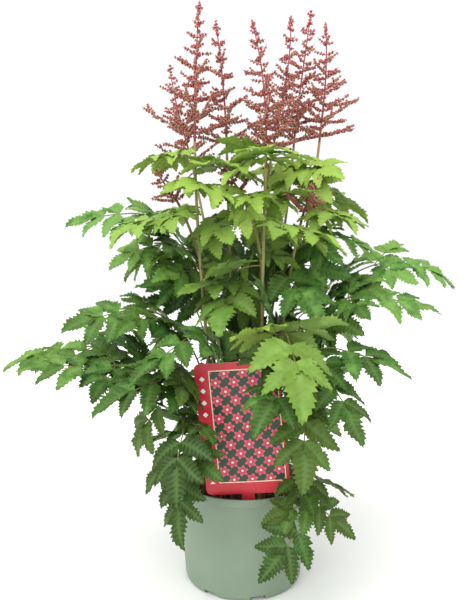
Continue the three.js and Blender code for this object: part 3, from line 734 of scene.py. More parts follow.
def moulded_polypropylene(settings):
    """Injection-moulded polypropylene: satin, faintly mottled by its pigment, with dust low down."""
    m, where = blank("moulded_polypropylene")
    height = add_node(m, "SeparateXYZ", {"Vector": where})
    flow = add_node(m, "TexNoise", {"Vector": where, "Scale": 1 / (38 * MM), "Detail": 4.0})
    pigment = add_node(
        m, "Mix", {FACTOR: flow, FIRST: settings.shade, SECOND: settings.colour}, data_type="RGBA"
    )
    specks = add_node(m, "TexNoise", {"Vector": where, "Scale": 1 / (2.2 * MM), "Detail": 5.0})
    dusty = add_node(
        m, "MapRange", {"Value": height.outputs[2], "From Min": 14 * MM, "From Max": 0.0, "To Max": 0.3}
    )
    dirt = add_node(m, "MapRange", {"Value": specks, "From Min": 0.55, "From Max": 0.7})
    soiled = add_node(m, "Math", {0: dusty, 1: dirt}, operation="MULTIPLY")
    colour = add_node(m, "Mix", {FACTOR: soiled, FIRST: pigment, SECOND: linear("4a3a2b")}, data_type="RGBA")
    # The mould's spark grain is about 0.1 mm, and drawn coarser so that it shows
    grain = add_node(m, "TexNoise", {"Vector": where, "Scale": 1 / (0.9 * MM), "Detail": 2.0})
    satin = add_node(m, "MapRange", {"Value": flow, "To Min": 0.36, "To Max": 0.5})
    return finish_material(m, colour, satin, grain, 0.05, IOR=1.49)


def peat(settings):
    """Moist peat and composted bark: dark, crumbly and without any gleam."""
    m, where, (bark, _, _, _) = painted("peat")
    crumb = add_node(
        m, "TexNoise", {"Vector": where, "Scale": 1 / (3 * MM), "Detail": 6.0, "Roughness": 0.7}
    )
    colour = settings.moist
    for share, over in ((crumb, settings.dry), (bark, settings.bark)):
        colour = add_node(m, "Mix", {FACTOR: share, FIRST: colour, SECOND: over}, data_type="RGBA")
    dull = add_node(m, "MapRange", {"Value": crumb, "To Min": 0.8, "To Max": 1.0})
    return finish_material(m, colour, dull, crumb, 1.2, IOR=1.4)


def printed_card(settings):
    """Laminated card print: red ground, green panel with pink rosettes, cream keyline and plain diamonds."""
    m, where = blank("printed_card")
    foot = [s * MM for s in LABEL["foot"]]
    card = add_node(
        m,
        "Mapping",
        {"Vector": where, "Location": foot, "Rotation": card_turn(), "Scale": (MM, MM, MM)},
        vector_type="TEXTURE",
    )
    across = add_node(m, "VectorMath", {0: card, 1: (*PRINT["panel_middle"], 0)}, operation="SUBTRACT")
    absolute = add_node(m, "VectorMath", {0: across}, operation="ABSOLUTE")
    beyond = add_node(m, "VectorMath", {0: absolute, 1: (*PRINT["panel_half"], 0)}, operation="SUBTRACT")
    sides = add_node(m, "SeparateXYZ", {"Vector": beyond})
    border = add_node(m, "Math", {0: sides.outputs[0], 1: sides.outputs[1]}, operation="MAXIMUM")
    off_line = add_node(m, "Math", {0: border}, operation="ABSOLUTE")
    keyline = add_node(m, "Math", {0: off_line, 1: PRINT["keyline_half"]}, operation="LESS_THAN")

    per_mm = 1 / PRINT["rosette_pitch"]
    lattice = add_node(
        m, "Mapping", {"Vector": across, "Rotation": (0, 0, math.radians(45)), "Scale": (per_mm, per_mm, 0)}
    )
    cells = add_node(
        m, "TexVoronoi", {"Vector": lattice, "Scale": 1.0, "Randomness": 0.0}, voronoi_dimensions="2D"
    )
    from_middle = add_node(m, "VectorMath", {0: lattice, 1: cells.outputs["Position"]}, operation="SUBTRACT")
    offsets = add_node(m, "SeparateXYZ", {"Vector": from_middle})
    angle = add_node(m, "Math", {0: offsets.outputs[1], 1: offsets.outputs[0]}, operation="ARCTAN2")
    turns = add_node(m, "Math", {0: angle, 1: 6.0}, operation="MULTIPLY")
    lobes = add_node(m, "Math", {0: turns}, operation="COSINE")
    least, most = PRINT["petal"]
    reach = add_node(m, "MapRange", {"Value": lobes, "From Min": -1.0, "To Min": least, "To Max": most})
    far = cells.outputs["Distance"]
    petal = add_node(m, "Math", {0: far, 1: reach}, operation="LESS_THAN")
    heart = add_node(m, "Math", {0: far, 1: PRINT["heart"]}, operation="LESS_THAN")
    flush = add_node(m, "MapRange", {"Value": far, "From Min": PRINT["heart"], "From Max": most})

    position = add_node(m, "SeparateXYZ", {"Vector": card})
    step = add_node(m, "Math", {0: position.outputs[1], 1: PRINT["diamond_pitch"] / 2}, operation="PINGPONG")
    rise = add_node(m, "Math", {0: position.outputs[0], 1: PRINT["diamond_row"]}, operation="SUBTRACT")
    offset = add_node(m, "Math", {0: rise}, operation="ABSOLUTE")
    slanted = add_node(m, "Math", {0: step, 1: offset}, operation="ADD")
    near_row = add_node(m, "Math", {0: slanted, 1: PRINT["diamond_half"]}, operation="LESS_THAN")
    up_band = add_node(m, "Math", {0: position.outputs[1], 1: PRINT["row_middle"]}, operation="SUBTRACT")
    from_half = add_node(m, "Math", {0: up_band}, operation="ABSOLUTE")
    on_card = add_node(m, "Math", {0: from_half, 1: PRINT["row_half"]}, operation="LESS_THAN")
    diamond = add_node(m, "Math", {0: near_row, 1: on_card}, operation="MULTIPLY")

    pink = add_node(
        m, "Mix", {FACTOR: flush, FIRST: settings.petal_heart, SECOND: settings.petal}, data_type="RGBA"
    )
    outside = add_node(m, "Math", {0: border, 1: 0.0}, operation="GREATER_THAN")
    colour = settings.panel
    for share, over in (
        (petal, pink),
        (heart, settings.cream),
        (outside, settings.ground),
        (keyline, settings.cream),
        (diamond, settings.white),
    ):
        colour = add_node(m, "Mix", {FACTOR: share, FIRST: colour, SECOND: over}, data_type="RGBA")
    scuffs = add_node(m, "TexNoise", {"Vector": where, "Scale": 1 / (9 * MM), "Detail": 5.0})
    gloss = add_node(m, "MapRange", {"Value": scuffs, "To Min": 0.22, "To Max": 0.38})
    return finish_material(m, colour, gloss, scuffs, 0.03, IOR=1.5)


def bare_card(settings):
    """The unprinted back and cut edge of the card: off-white board with a soft tooth."""
    m, where = blank("bare_card")
    # Flocks of fibre, drawn coarser than single fibres so that they show
    fibre = add_node(m, "TexNoise", {"Vector": where, "Scale": 1 / (1.5 * MM), "Detail": 4.0})
    board = add_node(
        m, "Mix", {FACTOR: fibre, FIRST: settings.board, SECOND: settings.white}, data_type="RGBA"
    )
    dull = add_node(m, "MapRange", {"Value": fibre, "To Min": 0.6, "To Max": 0.75})
    return finish_material(m, board, dull, fibre, 0.05, IOR=1.5)


def studio_paper():
    """Matte white background paper."""
    m, where = blank("studio_paper")
    tooth = add_node(m, "TexNoise", {"Vector": where, "Scale": 1 / (2.5 * MM), "Detail": 2.0})
    white = add_node(
        m, "Mix", {FACTOR: tooth, FIRST: linear("f4f4f2"), SECOND: linear("f7f7f6")}, data_type="RGBA"
    )
    dull = add_node(m, "MapRange", {"Value": tooth, "To Min": 0.85, "To Max": 0.95})
    return finish_material(m, white, dull, tooth, 0.05)


# ---- What a user may change ----


def length_property(name, description, millimetres):
    return FloatProperty(name=name, description=description, default=millimetres * MM, unit="LENGTH")


def colour_property(name, description, code):
    return FloatVectorProperty(
        name=name, description=description, default=linear(code), subtype="COLOR", min=0, max=1
    )


class PotSettings(bpy.types.PropertyGroup):
    """The moulded pot."""

    segments: IntProperty(name="Segments", description="Steps round the pot", default=180, min=24)
    rim_round: length_property("Rim rounding", "Radius of the rim's edges", 0.8)
    colour: colour_property("Colour", "Sage green of the plastic", "80917c")
    shade: colour_property("Shade", "Darker flow of its pigment", "748672")


class SoilSettings(bpy.types.PropertyGroup):
    """The potting soil."""

    crumbs: IntProperty(name="Crumbs", description="Loose crumbs on the surface", default=1500, min=0)
    chips: IntProperty(name="Chips", description="Pieces of bark on the surface", default=70, min=0)
    relief: length_property("Relief", "Height of the uneven surface", 3)
    moist: colour_property("Moist", "Peat where it is moist", "1f1611")
    dry: colour_property("Dry", "Peat where it has dried", "5a4434")
    bark: colour_property("Bark", "Composted bark", "7a5638")


class LabelSettings(bpy.types.PropertyGroup):
    """The card label."""

    bow: length_property("Bow", "How far the card bows", 1.6)
    ground: colour_property("Ground", "Red of the card", "c62b39")
    panel: colour_property("Panel", "Dark green of the panel", "26402a")
    petal: colour_property("Petal", "Tips of the rosettes", "e2607c")
    petal_heart: colour_property("Petal heart", "Inner petals of the rosettes", "b32443")
    cream: colour_property("Cream", "Keyline and hearts", "ead9b8")
    white: colour_property("White", "Diamonds", "f3efe8")
    board: colour_property("Board", "Back of the card", "d9d5cb")


class LeafSettings(bpy.types.PropertyGroup):
    """The leaves."""

    teeth: IntProperty(name="Teeth", description="Teeth on each side of a leaflet", default=8, min=3)
    tooth: FloatProperty(
        name="Tooth depth", description="Depth of a tooth as a share of the half width", default=0.24
    )
    quilt: length_property("Quilting", "Rise between the veins", 0.6)
    crinkle: length_property("Crinkle", "Uneven surface of a leaflet", 0.6)
    thick: length_property("Thickness", "Of a leaflet", 0.3)
    roughness: FloatProperty(name="Roughness", description="Of the cuticle", default=0.45)
    vein_strength: FloatProperty(name="Veins", description="How much paler the veins are", default=0.23)
    # Deep, Middle and Light are mixed by a leaflet's tone, which holds painted shade inside the plant and
    # painted light outside and at the top, besides a random tone
    deep: colour_property("Deep", "Darkest green", "062a0c")
    middle: colour_property("Middle", "Middle green", "1d581b")
    light: colour_property("Light", "Lightest green", "6a9745")
    young: colour_property("Young", "Young leaves", "9fbd50")
    vein: colour_property("Vein", "Veins", "8fb068")
    margin: colour_property("Margin", "Tinge of the edge", "8a8a44")
    under: colour_property("Underside", "Pale underside", "6f9156")
    # Underside, deep is reached through the same tone, so it is also painted shade on the undersides of inner
    # leaves
    under_deep: colour_property("Underside, deep", "Darker patches of the underside", "47683a")
    petiole: colour_property("Petiole", "Stalks of the leaves", "6f8040")
    petiole_red: colour_property("Petiole, red", "Reddened stalks", "7d4838")


class FlowerSettings(bpy.types.PropertyGroup):
    """The flower stems and plumes."""

    bud: length_property("Bud", "Length of a bud", 3.3)
    whorl: length_property("Whorls", "From one cluster of buds to the next", 4.1)
    brick: colour_property("Brick", "Closed buds", "b0655a")
    shaded: colour_property("Shaded", "Youngest buds, low on the plume", "8a4c48")
    rose: colour_property("Rose", "Buds about to open", "c05a68")
    tip: colour_property("Tip", "Tips of the buds", "cb9482")
    fleck: colour_property("Fleck", "Buds still green", "98884e")
    axis: colour_property("Axis", "Rose axis of the plume", "ab4058")
    axis_low: colour_property("Axis, low", "Brown-red foot of the axis", "84423c")
    stem: colour_property("Stem", "Green of the flower stems", "a3a465")
    stem_red: colour_property("Stem, red", "Reddened stem", "875a40")


class StageSettings(bpy.types.PropertyGroup):
    """Camera and light."""

    distance: FloatProperty(
        name="Distance", description="Camera to the pot's axis", default=0.68, unit="LENGTH"
    )
    height: FloatProperty(name="Height", description="Of the camera", default=0.353, unit="LENGTH")
    aside: FloatProperty(name="Aside", description="Camera to the left", default=0.015, unit="LENGTH")
    lens: FloatProperty(name="Lens", description="Focal length", default=31.14, unit="CAMERA")
    sky: FloatProperty(name="Sky", description="Light from all round", default=1.0)
    key: FloatProperty(name="Key", description="Soft light above on the left", default=2.4)


# ---- Leaves ----

# Leaflets of a blade: where the midrib leaves the rib, where its tip lies (along, out), and half its width,
# in shares of the blade's length
SIDE_LEAFLETS = ((0.12, (0.41, 0.45), 0.2), (0.36, (0.71, 0.37), 0.175))
END_LEAFLET = (0.44, (1.03, 0.0), 0.22)
ACROSS = np.array((-1, -0.66, -0.33, 0, 0.33, 0.66, 1))  # points across a leaflet, from edge to edge
UPPER, UNDER, STALK_LOOK = 0, 1, 2  # places among the materials of a leaf
# By these reaches, shade and light are painted on the leaves
LEAVES_WIDE, LEAVES_HIGH = 230, 420  # reach of the leaves from the axis and above the rim
YOUNG_FROM, YOUNG_OVER = 330, 150  # on the stems the leaves turn younger from this height, over this much


def leaflet_faces(rows):
    """Faces of a leaflet: its upper side, then its under side; both share the edge, the base and the tip."""
    columns = len(ACROSS)
    base = rows * columns
    tip = base + 1
    inner = base + 2

    def low(i, j):
        """The under side's number for a point of the upper side."""
        return i * columns + j if j in (0, columns - 1) else inner + i * (columns - 2) + j - 1

    upper = grid_faces(rows, columns)
    under = []
    for i in range(rows - 1):
        for j in range(columns - 1):
            under.append((low(i, j), low(i + 1, j), low(i + 1, j + 1), low(i, j + 1)))
    last = (rows - 1) * columns
    for j in range(columns - 1):
        upper.append((base, j + 1, j))
        upper.append((tip, last + j, last + j + 1))
        under.append((base, low(0, j), low(0, j + 1)))
        under.append((tip, low(rows - 1, j + 1), low(rows - 1, j)))
    return upper, under


def leaflet(shape, blade, start, tip, half, side, settings, rng, faces, age):
    """One toothed leaflet on the blade, quilted between its veins and folded along its midrib."""
    length = blade.length
    way = np.array(tip) - (start, 0)
    long = math.hypot(*way) * length
    aim = math.atan2(way[1], way[0])
    rows = 2 * settings.teeth + 1
    s = (np.arange(1, rows + 1) / (rows + 1))[:, None]
    t = np.broadcast_to(ACROSS, (rows, len(ACROSS)))
    on_vein = (np.arange(1, rows + 1) % 2 == 0)[:, None]
    ahead = s + 0.17 * np.abs(t) * (1 - s) * np.minimum(1, 4 * s)
    wide = ahead**0.55 * (1 - ahead) ** 1.05 / 0.455
    for across in (-1, 1):
        lobe = rng.uniform(0.0, 0.34) * np.exp(-(((s - rng.uniform(0.28, 0.5)) / 0.06) ** 2))
        wide = wide * np.where(np.sign(t) == across, 1 - lobe, 1.0)
    jag = rng.uniform(0.5, 1.25, (rows, 1)) * settings.tooth
    edge = np.abs(t) ** 3
    cut = np.where(on_vein, 1.0 + 0.25 * jag * edge, 1.0 - jag * edge)
    forward = np.where(on_vein, 0.55, -0.15) * edge / rows
    x = (ahead + forward) * long
    y = t * wide * cut * half * length * (1 + 0.08 * side * np.sign(t))
    y = y + rng.uniform(-0.05, 0.05) * long * s * (1 - s) * 4

    fold = rng.uniform(0.0, 0.36)
    twist = math.tan(math.radians(rng.uniform(-22, 22)))
    droop = rng.uniform(0.02, 0.16)
    wave = 0.09 * half * length * np.sin(2 * math.pi * (1.4 * s + rng.uniform()))
    quilt = settings.quilt / MM * half * length / 9
    height = fold * np.abs(y) + twist * y * s - droop * long * s**2 + wave * t**2
    height = height + np.where(on_vein, -0.5, 0.5) * quilt * np.sin(math.pi * np.minimum(np.abs(t) + 0.1, 1))
    height = height - 0.2 * quilt * (t == 0) + rng.uniform(-0.8, 0.8)
    height = height + settings.crinkle / MM * rng.uniform(-1, 1, height.shape)

    base_out = 0.004 * side
    along = start + (x * math.cos(aim) - y * math.sin(aim)) / length
    out = base_out + (x * math.sin(aim) + y * math.cos(aim)) / length
    points, up = blade.on(along, out)
    points = points + up * height[..., None]
    ends, _ = blade.on(np.array((start, tip[0])), np.array((base_out, tip[1])))
    ends[1] = ends[1] - up[-1, 3] * droop * long
    thick = settings.thick / MM * np.where(ACROSS == 0, 2.2, 1.0)[None, 1:-1, None]
    below = points[:, 1:-1] - up[:, 1:-1] * thick

    vein = np.maximum(on_vein * (1 - np.abs(t)), t == 0)
    # The leaflet's tone: painted shade and light by its place, then a random tone of its own
    tone = painted_shade_and_light(ends[0]) + rng.uniform(-0.24, 0.28)
    tones = tone + 0.0 * t
    paint = np.stack((vein, edge, tones, age + 0.0 * t), -1)
    caps = np.array(((1, 0, tone, age), (0, 1, tone, age)))
    upper, under = faces
    shape.add(
        np.concatenate((points.reshape(-1, 3), ends, below.reshape(-1, 3))),
        upper + under,
        [UPPER] * len(upper) + [UNDER] * len(under),
        np.concatenate((paint.reshape(-1, 4), caps, paint[:, 1:-1].reshape(-1, 4))),
    )


def cut_blade(shape, blade, settings, rng, faces, age):
    """A blade: its rib and five leaflets."""
    shares = np.linspace(0, END_LEAFLET[0] + 0.06, 6)
    places = []
    for share in shares:
        p, up = blade.on(np.array(share), np.array(0.0))
        ahead, _ = blade.on(np.array(share + 0.02), np.array(0.0))
        places.append(Place(p - up * 0.3, ahead - p, up))
    tube(shape, places, lerp(0.75, 0.45, shares), 6, STALK_LOOK, 0.25)
    for start, (along, out), half in SIDE_LEAFLETS:
        for side in (-1, 1):
            size = rng.uniform(0.92, 1.06)
            tip = (start + (along - start) * size, out * side * size)
            leaflet(shape, blade, start, tip, half * size, side, settings, rng, faces, age)
    start, tip, half = END_LEAFLET
    leaflet(shape, blade, start, tip, half, 1, settings, rng, faces, age)


def leaf_materials(settings):
    return (
        leaf_cuticle("leaf_cuticle", settings.deep, settings.middle, settings.light, settings),
        leaf_cuticle("leaf_underside", settings.under_deep, settings.under, settings.under, settings),
        stalk_skin("petiole_skin", settings.petiole, settings.petiole_red, linear("6a4030"), 1.2),
    )


def stem_places(path, step):
    """Places up a stem from below the soil's surface to its end."""
    count = max(2, round(path.length / step))
    foot = path.at(0)
    places = [foot.moved(foot.p - UP * 12), foot.moved(foot.p - UP * 5)]
    return places + spaced(path.at, path.length, count)


def painted_shade_and_light(point):
    """How light the green is, as painted light and shade: paler towards the outside and the top where the
    light falls, darker inside and near the pot as painted shade, which also stands for the darker green of
    older inner leaves.
    """
    reach = math.hypot(point[0], point[1]) / LEAVES_WIDE
    high = (point[2] - POT["height"]) / LEAVES_HIGH
    return min(max(0.95 * reach + 1.7 * high - 0.94, 0.0), 1.0)


class ASTILBE_OT_leaves(bpy.types.Operator):
    """Grow the basal leaves over their solids"""

    bl_idname = "astilbe.leaves"
    bl_label = "Basal leaves"

    def execute(self, context):
        settings = context.scene.astilbe_leaf
        materials = leaf_materials(settings)
        faces = leaflet_faces(2 * settings.teeth + 1)
        for index, row in enumerate(LEAVES):
            corners = Corners(f"leaf_{row[0]}")
            rng = np.random.default_rng(LEAF_SEED + index)
            size = row[5]

            def checks(path, size=size):
                at = path.at((path.length - LEAF["pairs"][0][0] * size) * 2 / 3)
                return [at.p + (at.r - at.u) * LEAF["petiole_half"]]

            path, plans = as_bowed(basal_leaf, row, index, corners, checks)
            blades = as_grown(plans, corners)
            shape = Shape()
            places = stem_places(path, 8)
            shares = np.linspace(0, 1, len(places))
            radii = lerp(1.75, 0.8, shares) + 0.9 * np.exp(-shares * 18)
            tube(shape, places, radii, 10, STALK_LOOK, np.clip(0.9 - 1.3 * shares, 0.15, 1))
            for blade in blades:
                age = rng.uniform(0.0, 0.2)
                if row[0] == "front_bright":
                    age = 0.85 if blade.mark()[0] < row[2][0] - 12 else 0.4
                cut_blade(shape, blade, settings, rng, faces, age)
            slot = "leaf_young" if row[0] == "front_bright" else "leaf_green"
            shape.piece(f"{row[0]}_leaf", materials, slot, f"leaf_{row[0]}")
        return {"FINISHED"}


# ---- Flower stems and plumes ----


class ASTILBE_OT_flower_stems(bpy.types.Operator):
    """Grow the flower stems and the leaves on them over their solids"""

    bl_idname = "astilbe.flower_stems"
    bl_label = "Flower stems"

    def execute(self, context):
        settings = context.scene.astilbe_leaf
        flower = context.scene.astilbe_flower
        materials = leaf_materials(settings)
        skin = stalk_skin("flower_stem_skin", flower.stem, flower.stem_red, linear("7a5a3c"), 1.4)
        faces = leaflet_faces(2 * settings.teeth + 1)

        def checks(path):
            at = path.at(path.length)
            return [at.p + (at.r - at.u) * STALK["half_top"]]

        for index, row in enumerate(FLOWERS):
            corners = Corners(f"stem_{row[0]}")
            rng = np.random.default_rng(STALK_SEED + index)
            path, plans = as_bowed(flower_stalk, row, index, corners, checks)
            stalk = Shape()
            places = stem_places(path, 10)
            shares = np.linspace(0, 1, len(places))
            radii = lerp(2.5, 1.7, shares) + 0.8 * np.exp(-shares * 24)
            red = np.clip(0.75 - 1.5 * shares, 0.1, 1) + 0.5 * np.maximum(0, shares - 0.85) / 0.15
            tube(stalk, places, radii, 10, 0, red)
            stalk.piece(f"{row[0]}_flower_stem", (skin,), "green_stem", f"stem_{row[0]}")

            leaves = Shape()
            for twig in as_grown(plans, corners):
                way = twig.path
                steps = max(3, round(way.length / 6))
                places = spaced(way.at, way.length, steps)
                tube(leaves, places, np.linspace(1.15, 0.7, steps + 1), 8, STALK_LOOK, 0.3)
                for blade in as_grown(twig.plans, corners):
                    high = min(max((blade.at.p[2] - YOUNG_FROM) / YOUNG_OVER, 0), 1)
                    cut_blade(leaves, blade, settings, rng, faces, 0.66 * high + rng.uniform(0, 0.2))
            if leaves.count:
                leaves.piece(f"{row[0]}_stem_leaves", materials, "leaf_green", f"stem_{row[0]}")
        return {"FINISHED"}


def bud_form():
    """A closed bud along the first axis: its points, faces and how near each point is to the tip."""
    sides = 5
    points = []
    for x, r in ((0.24, 0.95), (0.7, 0.85)):
        for j in range(sides):
            angle = 2 * math.pi * (j + x) / sides
            points.append((x, r * math.cos(angle), r * math.sin(angle)))
    points = np.array([*points, (0, 0, 0), (1, 0, 0)])
    return points, closed_faces(2, sides), points[:, 0]


def bud(shape, form, at, length, half, look, rose, tone, green=0):
    """One bud standing on a place."""
    points, faces, tips = form
    placed = at.p + np.outer(points[:, 0] * length, at.f)
    placed = placed + np.outer(points[:, 1] * half, at.r) + np.outer(points[:, 2] * half, at.u)
    paint = np.stack((rose + 0 * tips, 0.75 * tips**2, tone + 0 * tips, green + 0 * tips), -1)
    shape.add(placed, faces, look, paint)


def bud_spike(shape, form, path_at, length, start, radius, settings, rng, rose, size):
    """Clusters of buds all along a thin axis; path_at gives the place at a distance along it."""
    step = settings.whorl / MM
    distance = start
    turn = rng.uniform(0, 360)
    while distance < length:
        share = distance / length
        at = path_at(distance)
        count = 4 if rng.uniform() < 0.35 else 3
        grown = size * (1 - 0.35 * share) * rng.uniform(0.85, 1.1)
        for i in range(count):
            angle = math.radians(turn + 360 * i / count + rng.uniform(-20, 20))
            out = at.r * math.cos(angle) + at.u * math.sin(angle)
            lean = towards(at.f, out, rng.uniform(34, 70))
            long = settings.bud / MM * grown * rng.uniform(0.85, 1.15)
            foot = Place(at.p + out * radius * 0.6 + at.f * rng.uniform(-0.8, 0.8), lean, at.f)
            shade = min(max(rose + 0.2 * share + rng.uniform(-0.25, 0.25), 0), 1)
            green = 0.8 if rng.uniform() < 0.16 * (1 - 1.6 * rose) else 0
            wide = long * rng.uniform(0.46, 0.58)
            bud(shape, form, foot, long, wide, 1, shade, rng.uniform(0, 1), green)
        turn += 61  # degrees from one cluster to the next
        distance += step * rng.uniform(0.85, 1.15) * (1 - 0.2 * share)


class ASTILBE_OT_plumes(bpy.types.Operator):
    """Set the plumes of buds on the flower stems"""

    bl_idname = "astilbe.plumes"
    bl_label = "Plumes"

    def execute(self, context):
        settings = context.scene.astilbe_flower
        axis_skin = stalk_skin("plume_axis_skin", settings.axis, settings.axis_low, linear("7d3a44"), 0.9)
        materials = (axis_skin, bud_skin(settings))
        form = bud_form()
        for index, row in enumerate(FLOWERS):
            corners = Corners(f"plume_{row[0]}")
            rng = np.random.default_rng(PLUME_SEED + index)
            path, plans = plume_axis(row, index)
            shape = Shape()
            count = round(path.length / 8)
            places = spaced(path.at, path.length, count)
            shares = np.linspace(0, 1, count + 1)
            tube(shape, places, lerp(1.6, 0.6, shares), 8, 0, 1 - shares)
            sprays = [(share, spray) for share, plan in plans for spray in as_grown([plan], corners)]
            sprays += between_sprays(row, path, rng)
            for share, spray in sprays:
                spray_axis(shape, spray, share, form, settings, rng)
            top = path.length * 0.9

            def on_axis(distance, path=path, top=top):
                return path.at(top + distance)

            bud_spike(shape, form, on_axis, path.length - top, 0, 0.7, settings, rng, 0.6, 1.05)
            shape.piece(f"{row[0]}_plume", materials, "flower_bud", f"plume_{row[0]}")
        return {"FINISHED"}


def between_sprays(row, path, rng):
    """Branches between the paired ones, on the other two faces of the axis."""
    sprays = []
    levels = round(path.length / 11)
    for i in range(levels):
        share = (i + rng.uniform(0.3, 0.7)) / levels
        half = lerp(SPRAY["axis_half"], SPRAY["tip_half"], share)
        at = path.at(4 + share * (path.length - 8))
        length = row[6] * (1 - share) ** SPRAY["shrink"] + 0.8 * SPRAY["shortest"]
        turn = 90 * i + rng.uniform(-30, 30)
        for swing in (turn, turn + 180):
            out = at.r * math.cos(math.radians(swing)) + at.u * math.sin(math.radians(swing))
            base = Place(at.p + out * half, out, at.f)
            start = base.turned(0, SPRAY["lift"] + rng.uniform(-14, 10))
            sprays.append((share, Spray(start, length * rng.uniform(0.55, 0.95))))
    return sprays


def spray_axis(shape, spray, share, form, settings, rng):
    """A branch of a plume, slightly arched, with its buds."""
    at = spray.at
    lift = rng.uniform(0.02, 0.08) * spray.length

    def place_at(distance):
        s = distance / spray.length
        p = at.p + at.f * distance - at.u * lift * 4 * s * (1 - s) * 0.5
        return Place(p, at.f - at.u * lift * 2 * (1 - 2 * s) / spray.length, at.u)

    count = max(2, round(spray.length / 9))
    places = spaced(place_at, spray.length, count)
    places[0] = places[0].moved(places[0].p - at.f * 0.8)
    red = 0.4 * max(0.0, 1 - 2.5 * share) + 0.2
    rose = 0.1 + 0.3 * share
    tube(shape, places, np.linspace(0.6, 0.3, count + 1), 5, 0, red)
    bud_spike(shape, form, place_at, spray.length - 1.5, 2.5, 0.4, settings, rng, rose, 1.0)
    if spray.length < 24:
        return
    for distance in np.arange(7, spray.length - 9, 7.5):
        fork = place_at(distance + rng.uniform(-2, 2)).turned(rng.choice((-1, 1)) * rng.uniform(35, 60), 10)
        reach = rng.uniform(6, 11)

        def on_fork(along, fork=fork):
            return Place(fork.p + fork.f * along, fork.f, fork.u)

        tube(shape, [on_fork(0), on_fork(reach)], (0.4, 0.25), 4, 0, red)
        bud_spike(shape, form, on_fork, reach, 2.0, 0.3, settings, rng, rose, 0.9)


# ---- Pot, soil and label ----


def outer_radius(z):
    taper = (POT["rim_radius"] - POT["rim_step"] - POT["base_radius"]) / (POT["height"] - POT["rim_height"])
    return POT["base_radius"] + taper * z


def inner_radius(z):
    return outer_radius(z) - POT["wall"]


def rounded(corner, radius, steps):
    """The corner (before, at, after) of an outline, rounded with a number of points."""
    before, middle, after = (np.array(p, float) for p in corner)
    start = middle + unit(before - middle) * radius
    stop = middle + unit(after - middle) * radius
    s = np.linspace(0, 1, steps)[:, None]
    return start * (1 - s) ** 2 + middle * 2 * s * (1 - s) + stop * s**2


def pot_outline(rim_round):
    """Half the pot's section, from the middle of its underside outwards and back inside to the middle."""
    top = POT["height"]
    ledge = top - POT["rim_height"]
    rim = POT["rim_radius"]
    foot = POT["foot_radius"]
    pad = POT["pad_radius"]
    corners = (
        ((0, 0), 0, 1),
        ((pad, 0), 0.6, 4),
        ((pad + 2, POT["recess"]), 0.6, 4),
        ((foot, POT["recess"]), 0.6, 4),
        ((foot + 1, 0), 0.5, 4),
        ((outer_radius(0), 0), POT["edge_round"], 10),
        ((outer_radius(ledge), ledge), 0.5, 4),
        ((rim, ledge + 0.8), 0.6, 4),
        ((rim, top), rim_round, 6),
        ((rim - 1 - POT["wall"], top), rim_round, 6),
        ((inner_radius(ledge), ledge), 0.8, 4),
        ((inner_radius(POT["floor_top"]), POT["floor_top"]), 4, 6),
        ((0, POT["floor_top"]), 0, 1),
    )
    points = [np.array(((0.0, 0.0),))]
    for i in range(1, len(corners) - 1):
        here, radius, steps = corners[i]
        points.append(rounded((corners[i - 1][0], here, corners[i + 1][0]), radius, steps))
    points.append(np.array(((0.0, POT["floor_top"]),)))
    return np.concatenate(points)


def cut_out(made, cutters):
    """Takes the cutters out of an object for good."""
    for cutter in cutters:
        bpy.context.scene.collection.objects.link(cutter)
        boolean = made.modifiers.new("cut", "BOOLEAN")
        boolean.operation = "DIFFERENCE"
        boolean.solver = "EXACT"
        boolean.object = cutter
    evaluated = made.evaluated_get(bpy.context.evaluated_depsgraph_get())
    whole = made.data
    made.data = bpy.data.meshes.new_from_object(evaluated)
    made.modifiers.clear()
    bpy.data.meshes.remove(whole)
    for cutter in cutters:
        bpy.data.objects.remove(cutter)


def prism(name, sides, radii, place, turn, low, high):
    """A cutter: a prism with this many sides, its radii across and along its turn."""
    angles = 2 * math.pi * (np.arange(sides) + 0.5) / sides
    flat = np.stack((np.cos(angles) * radii[0], np.sin(angles) * radii[1]), -1)
    c, s = math.cos(math.radians(turn)), math.sin(math.radians(turn))
    flat = flat @ np.array(((c, s), (-s, c))) + place
    points = [(x, y, z) for z in (low, high) for x, y in flat]
    faces = grid_faces(2, sides, around=True)
    faces += [tuple(range(sides - 1, -1, -1)), tuple(range(sides, 2 * sides))]
    mesh = bpy.data.meshes.new(name)
    mesh.from_pydata(np.array(points) * MM, [], faces)
    return bpy.data.objects.new(name, mesh)


class ASTILBE_OT_pot(bpy.types.Operator):
    """Mould the pot: rim, tapered wall, notched foot, recessed floor and drain holes"""

    bl_idname = "astilbe.pot"
    bl_label = "Pot"

    def execute(self, context):
        settings = context.scene.astilbe_pot
        outline = pot_outline(settings.rim_round / MM)
        angles = circle(settings.segments)
        r = outline[1:-1, 0][:, None]
        z = outline[1:-1, 1][:, None] + 0 * angles
        points = np.stack((r * np.cos(angles), r * np.sin(angles), z), -1).reshape(-1, 3)
        outward = [(f[0], *f[:0:-1]) for f in closed_faces(len(outline) - 2, settings.segments)]
        ends = ((0, 0, 0), (0, 0, POT["floor_top"]))
        shape = Shape()
        shape.add(np.concatenate((points, ends)), outward, 0, (0, 0, 0, 0))
        pot = shape.piece("moulded_pot", (moulded_polypropylene(settings),), "moulded_pot", "pot")

        cutters = []
        depth = POT["rim_radius"] - POT["foot_radius"] + 4
        for i in range(POT["notches"]):
            turn = POT["first_notch"] + i * 360 / POT["notches"]
            middle = heading(turn)[:2] * (POT["foot_radius"] - 2 + depth / 2)
            half = (depth / math.sqrt(2), POT["notch_width"] / math.sqrt(2))
            cutters.append(prism(f"notch_{i}", 4, half, middle, turn, -4, POT["notch_height"]))
        for i in range(POT["drains"]):
            middle = heading(i * 360 / POT["drains"])[:2] * POT["drain_circle"]
            half = (POT["drain_radius"], POT["drain_radius"])
            cutters.append(prism(f"drain_{i}", 32, half, middle, 0, -4, POT["floor_top"] + 4))
        cut_out(pot, cutters)
        pot.data.set_sharp_from_angle(angle=math.radians(SHARP["pot"]))
        return {"FINISHED"}


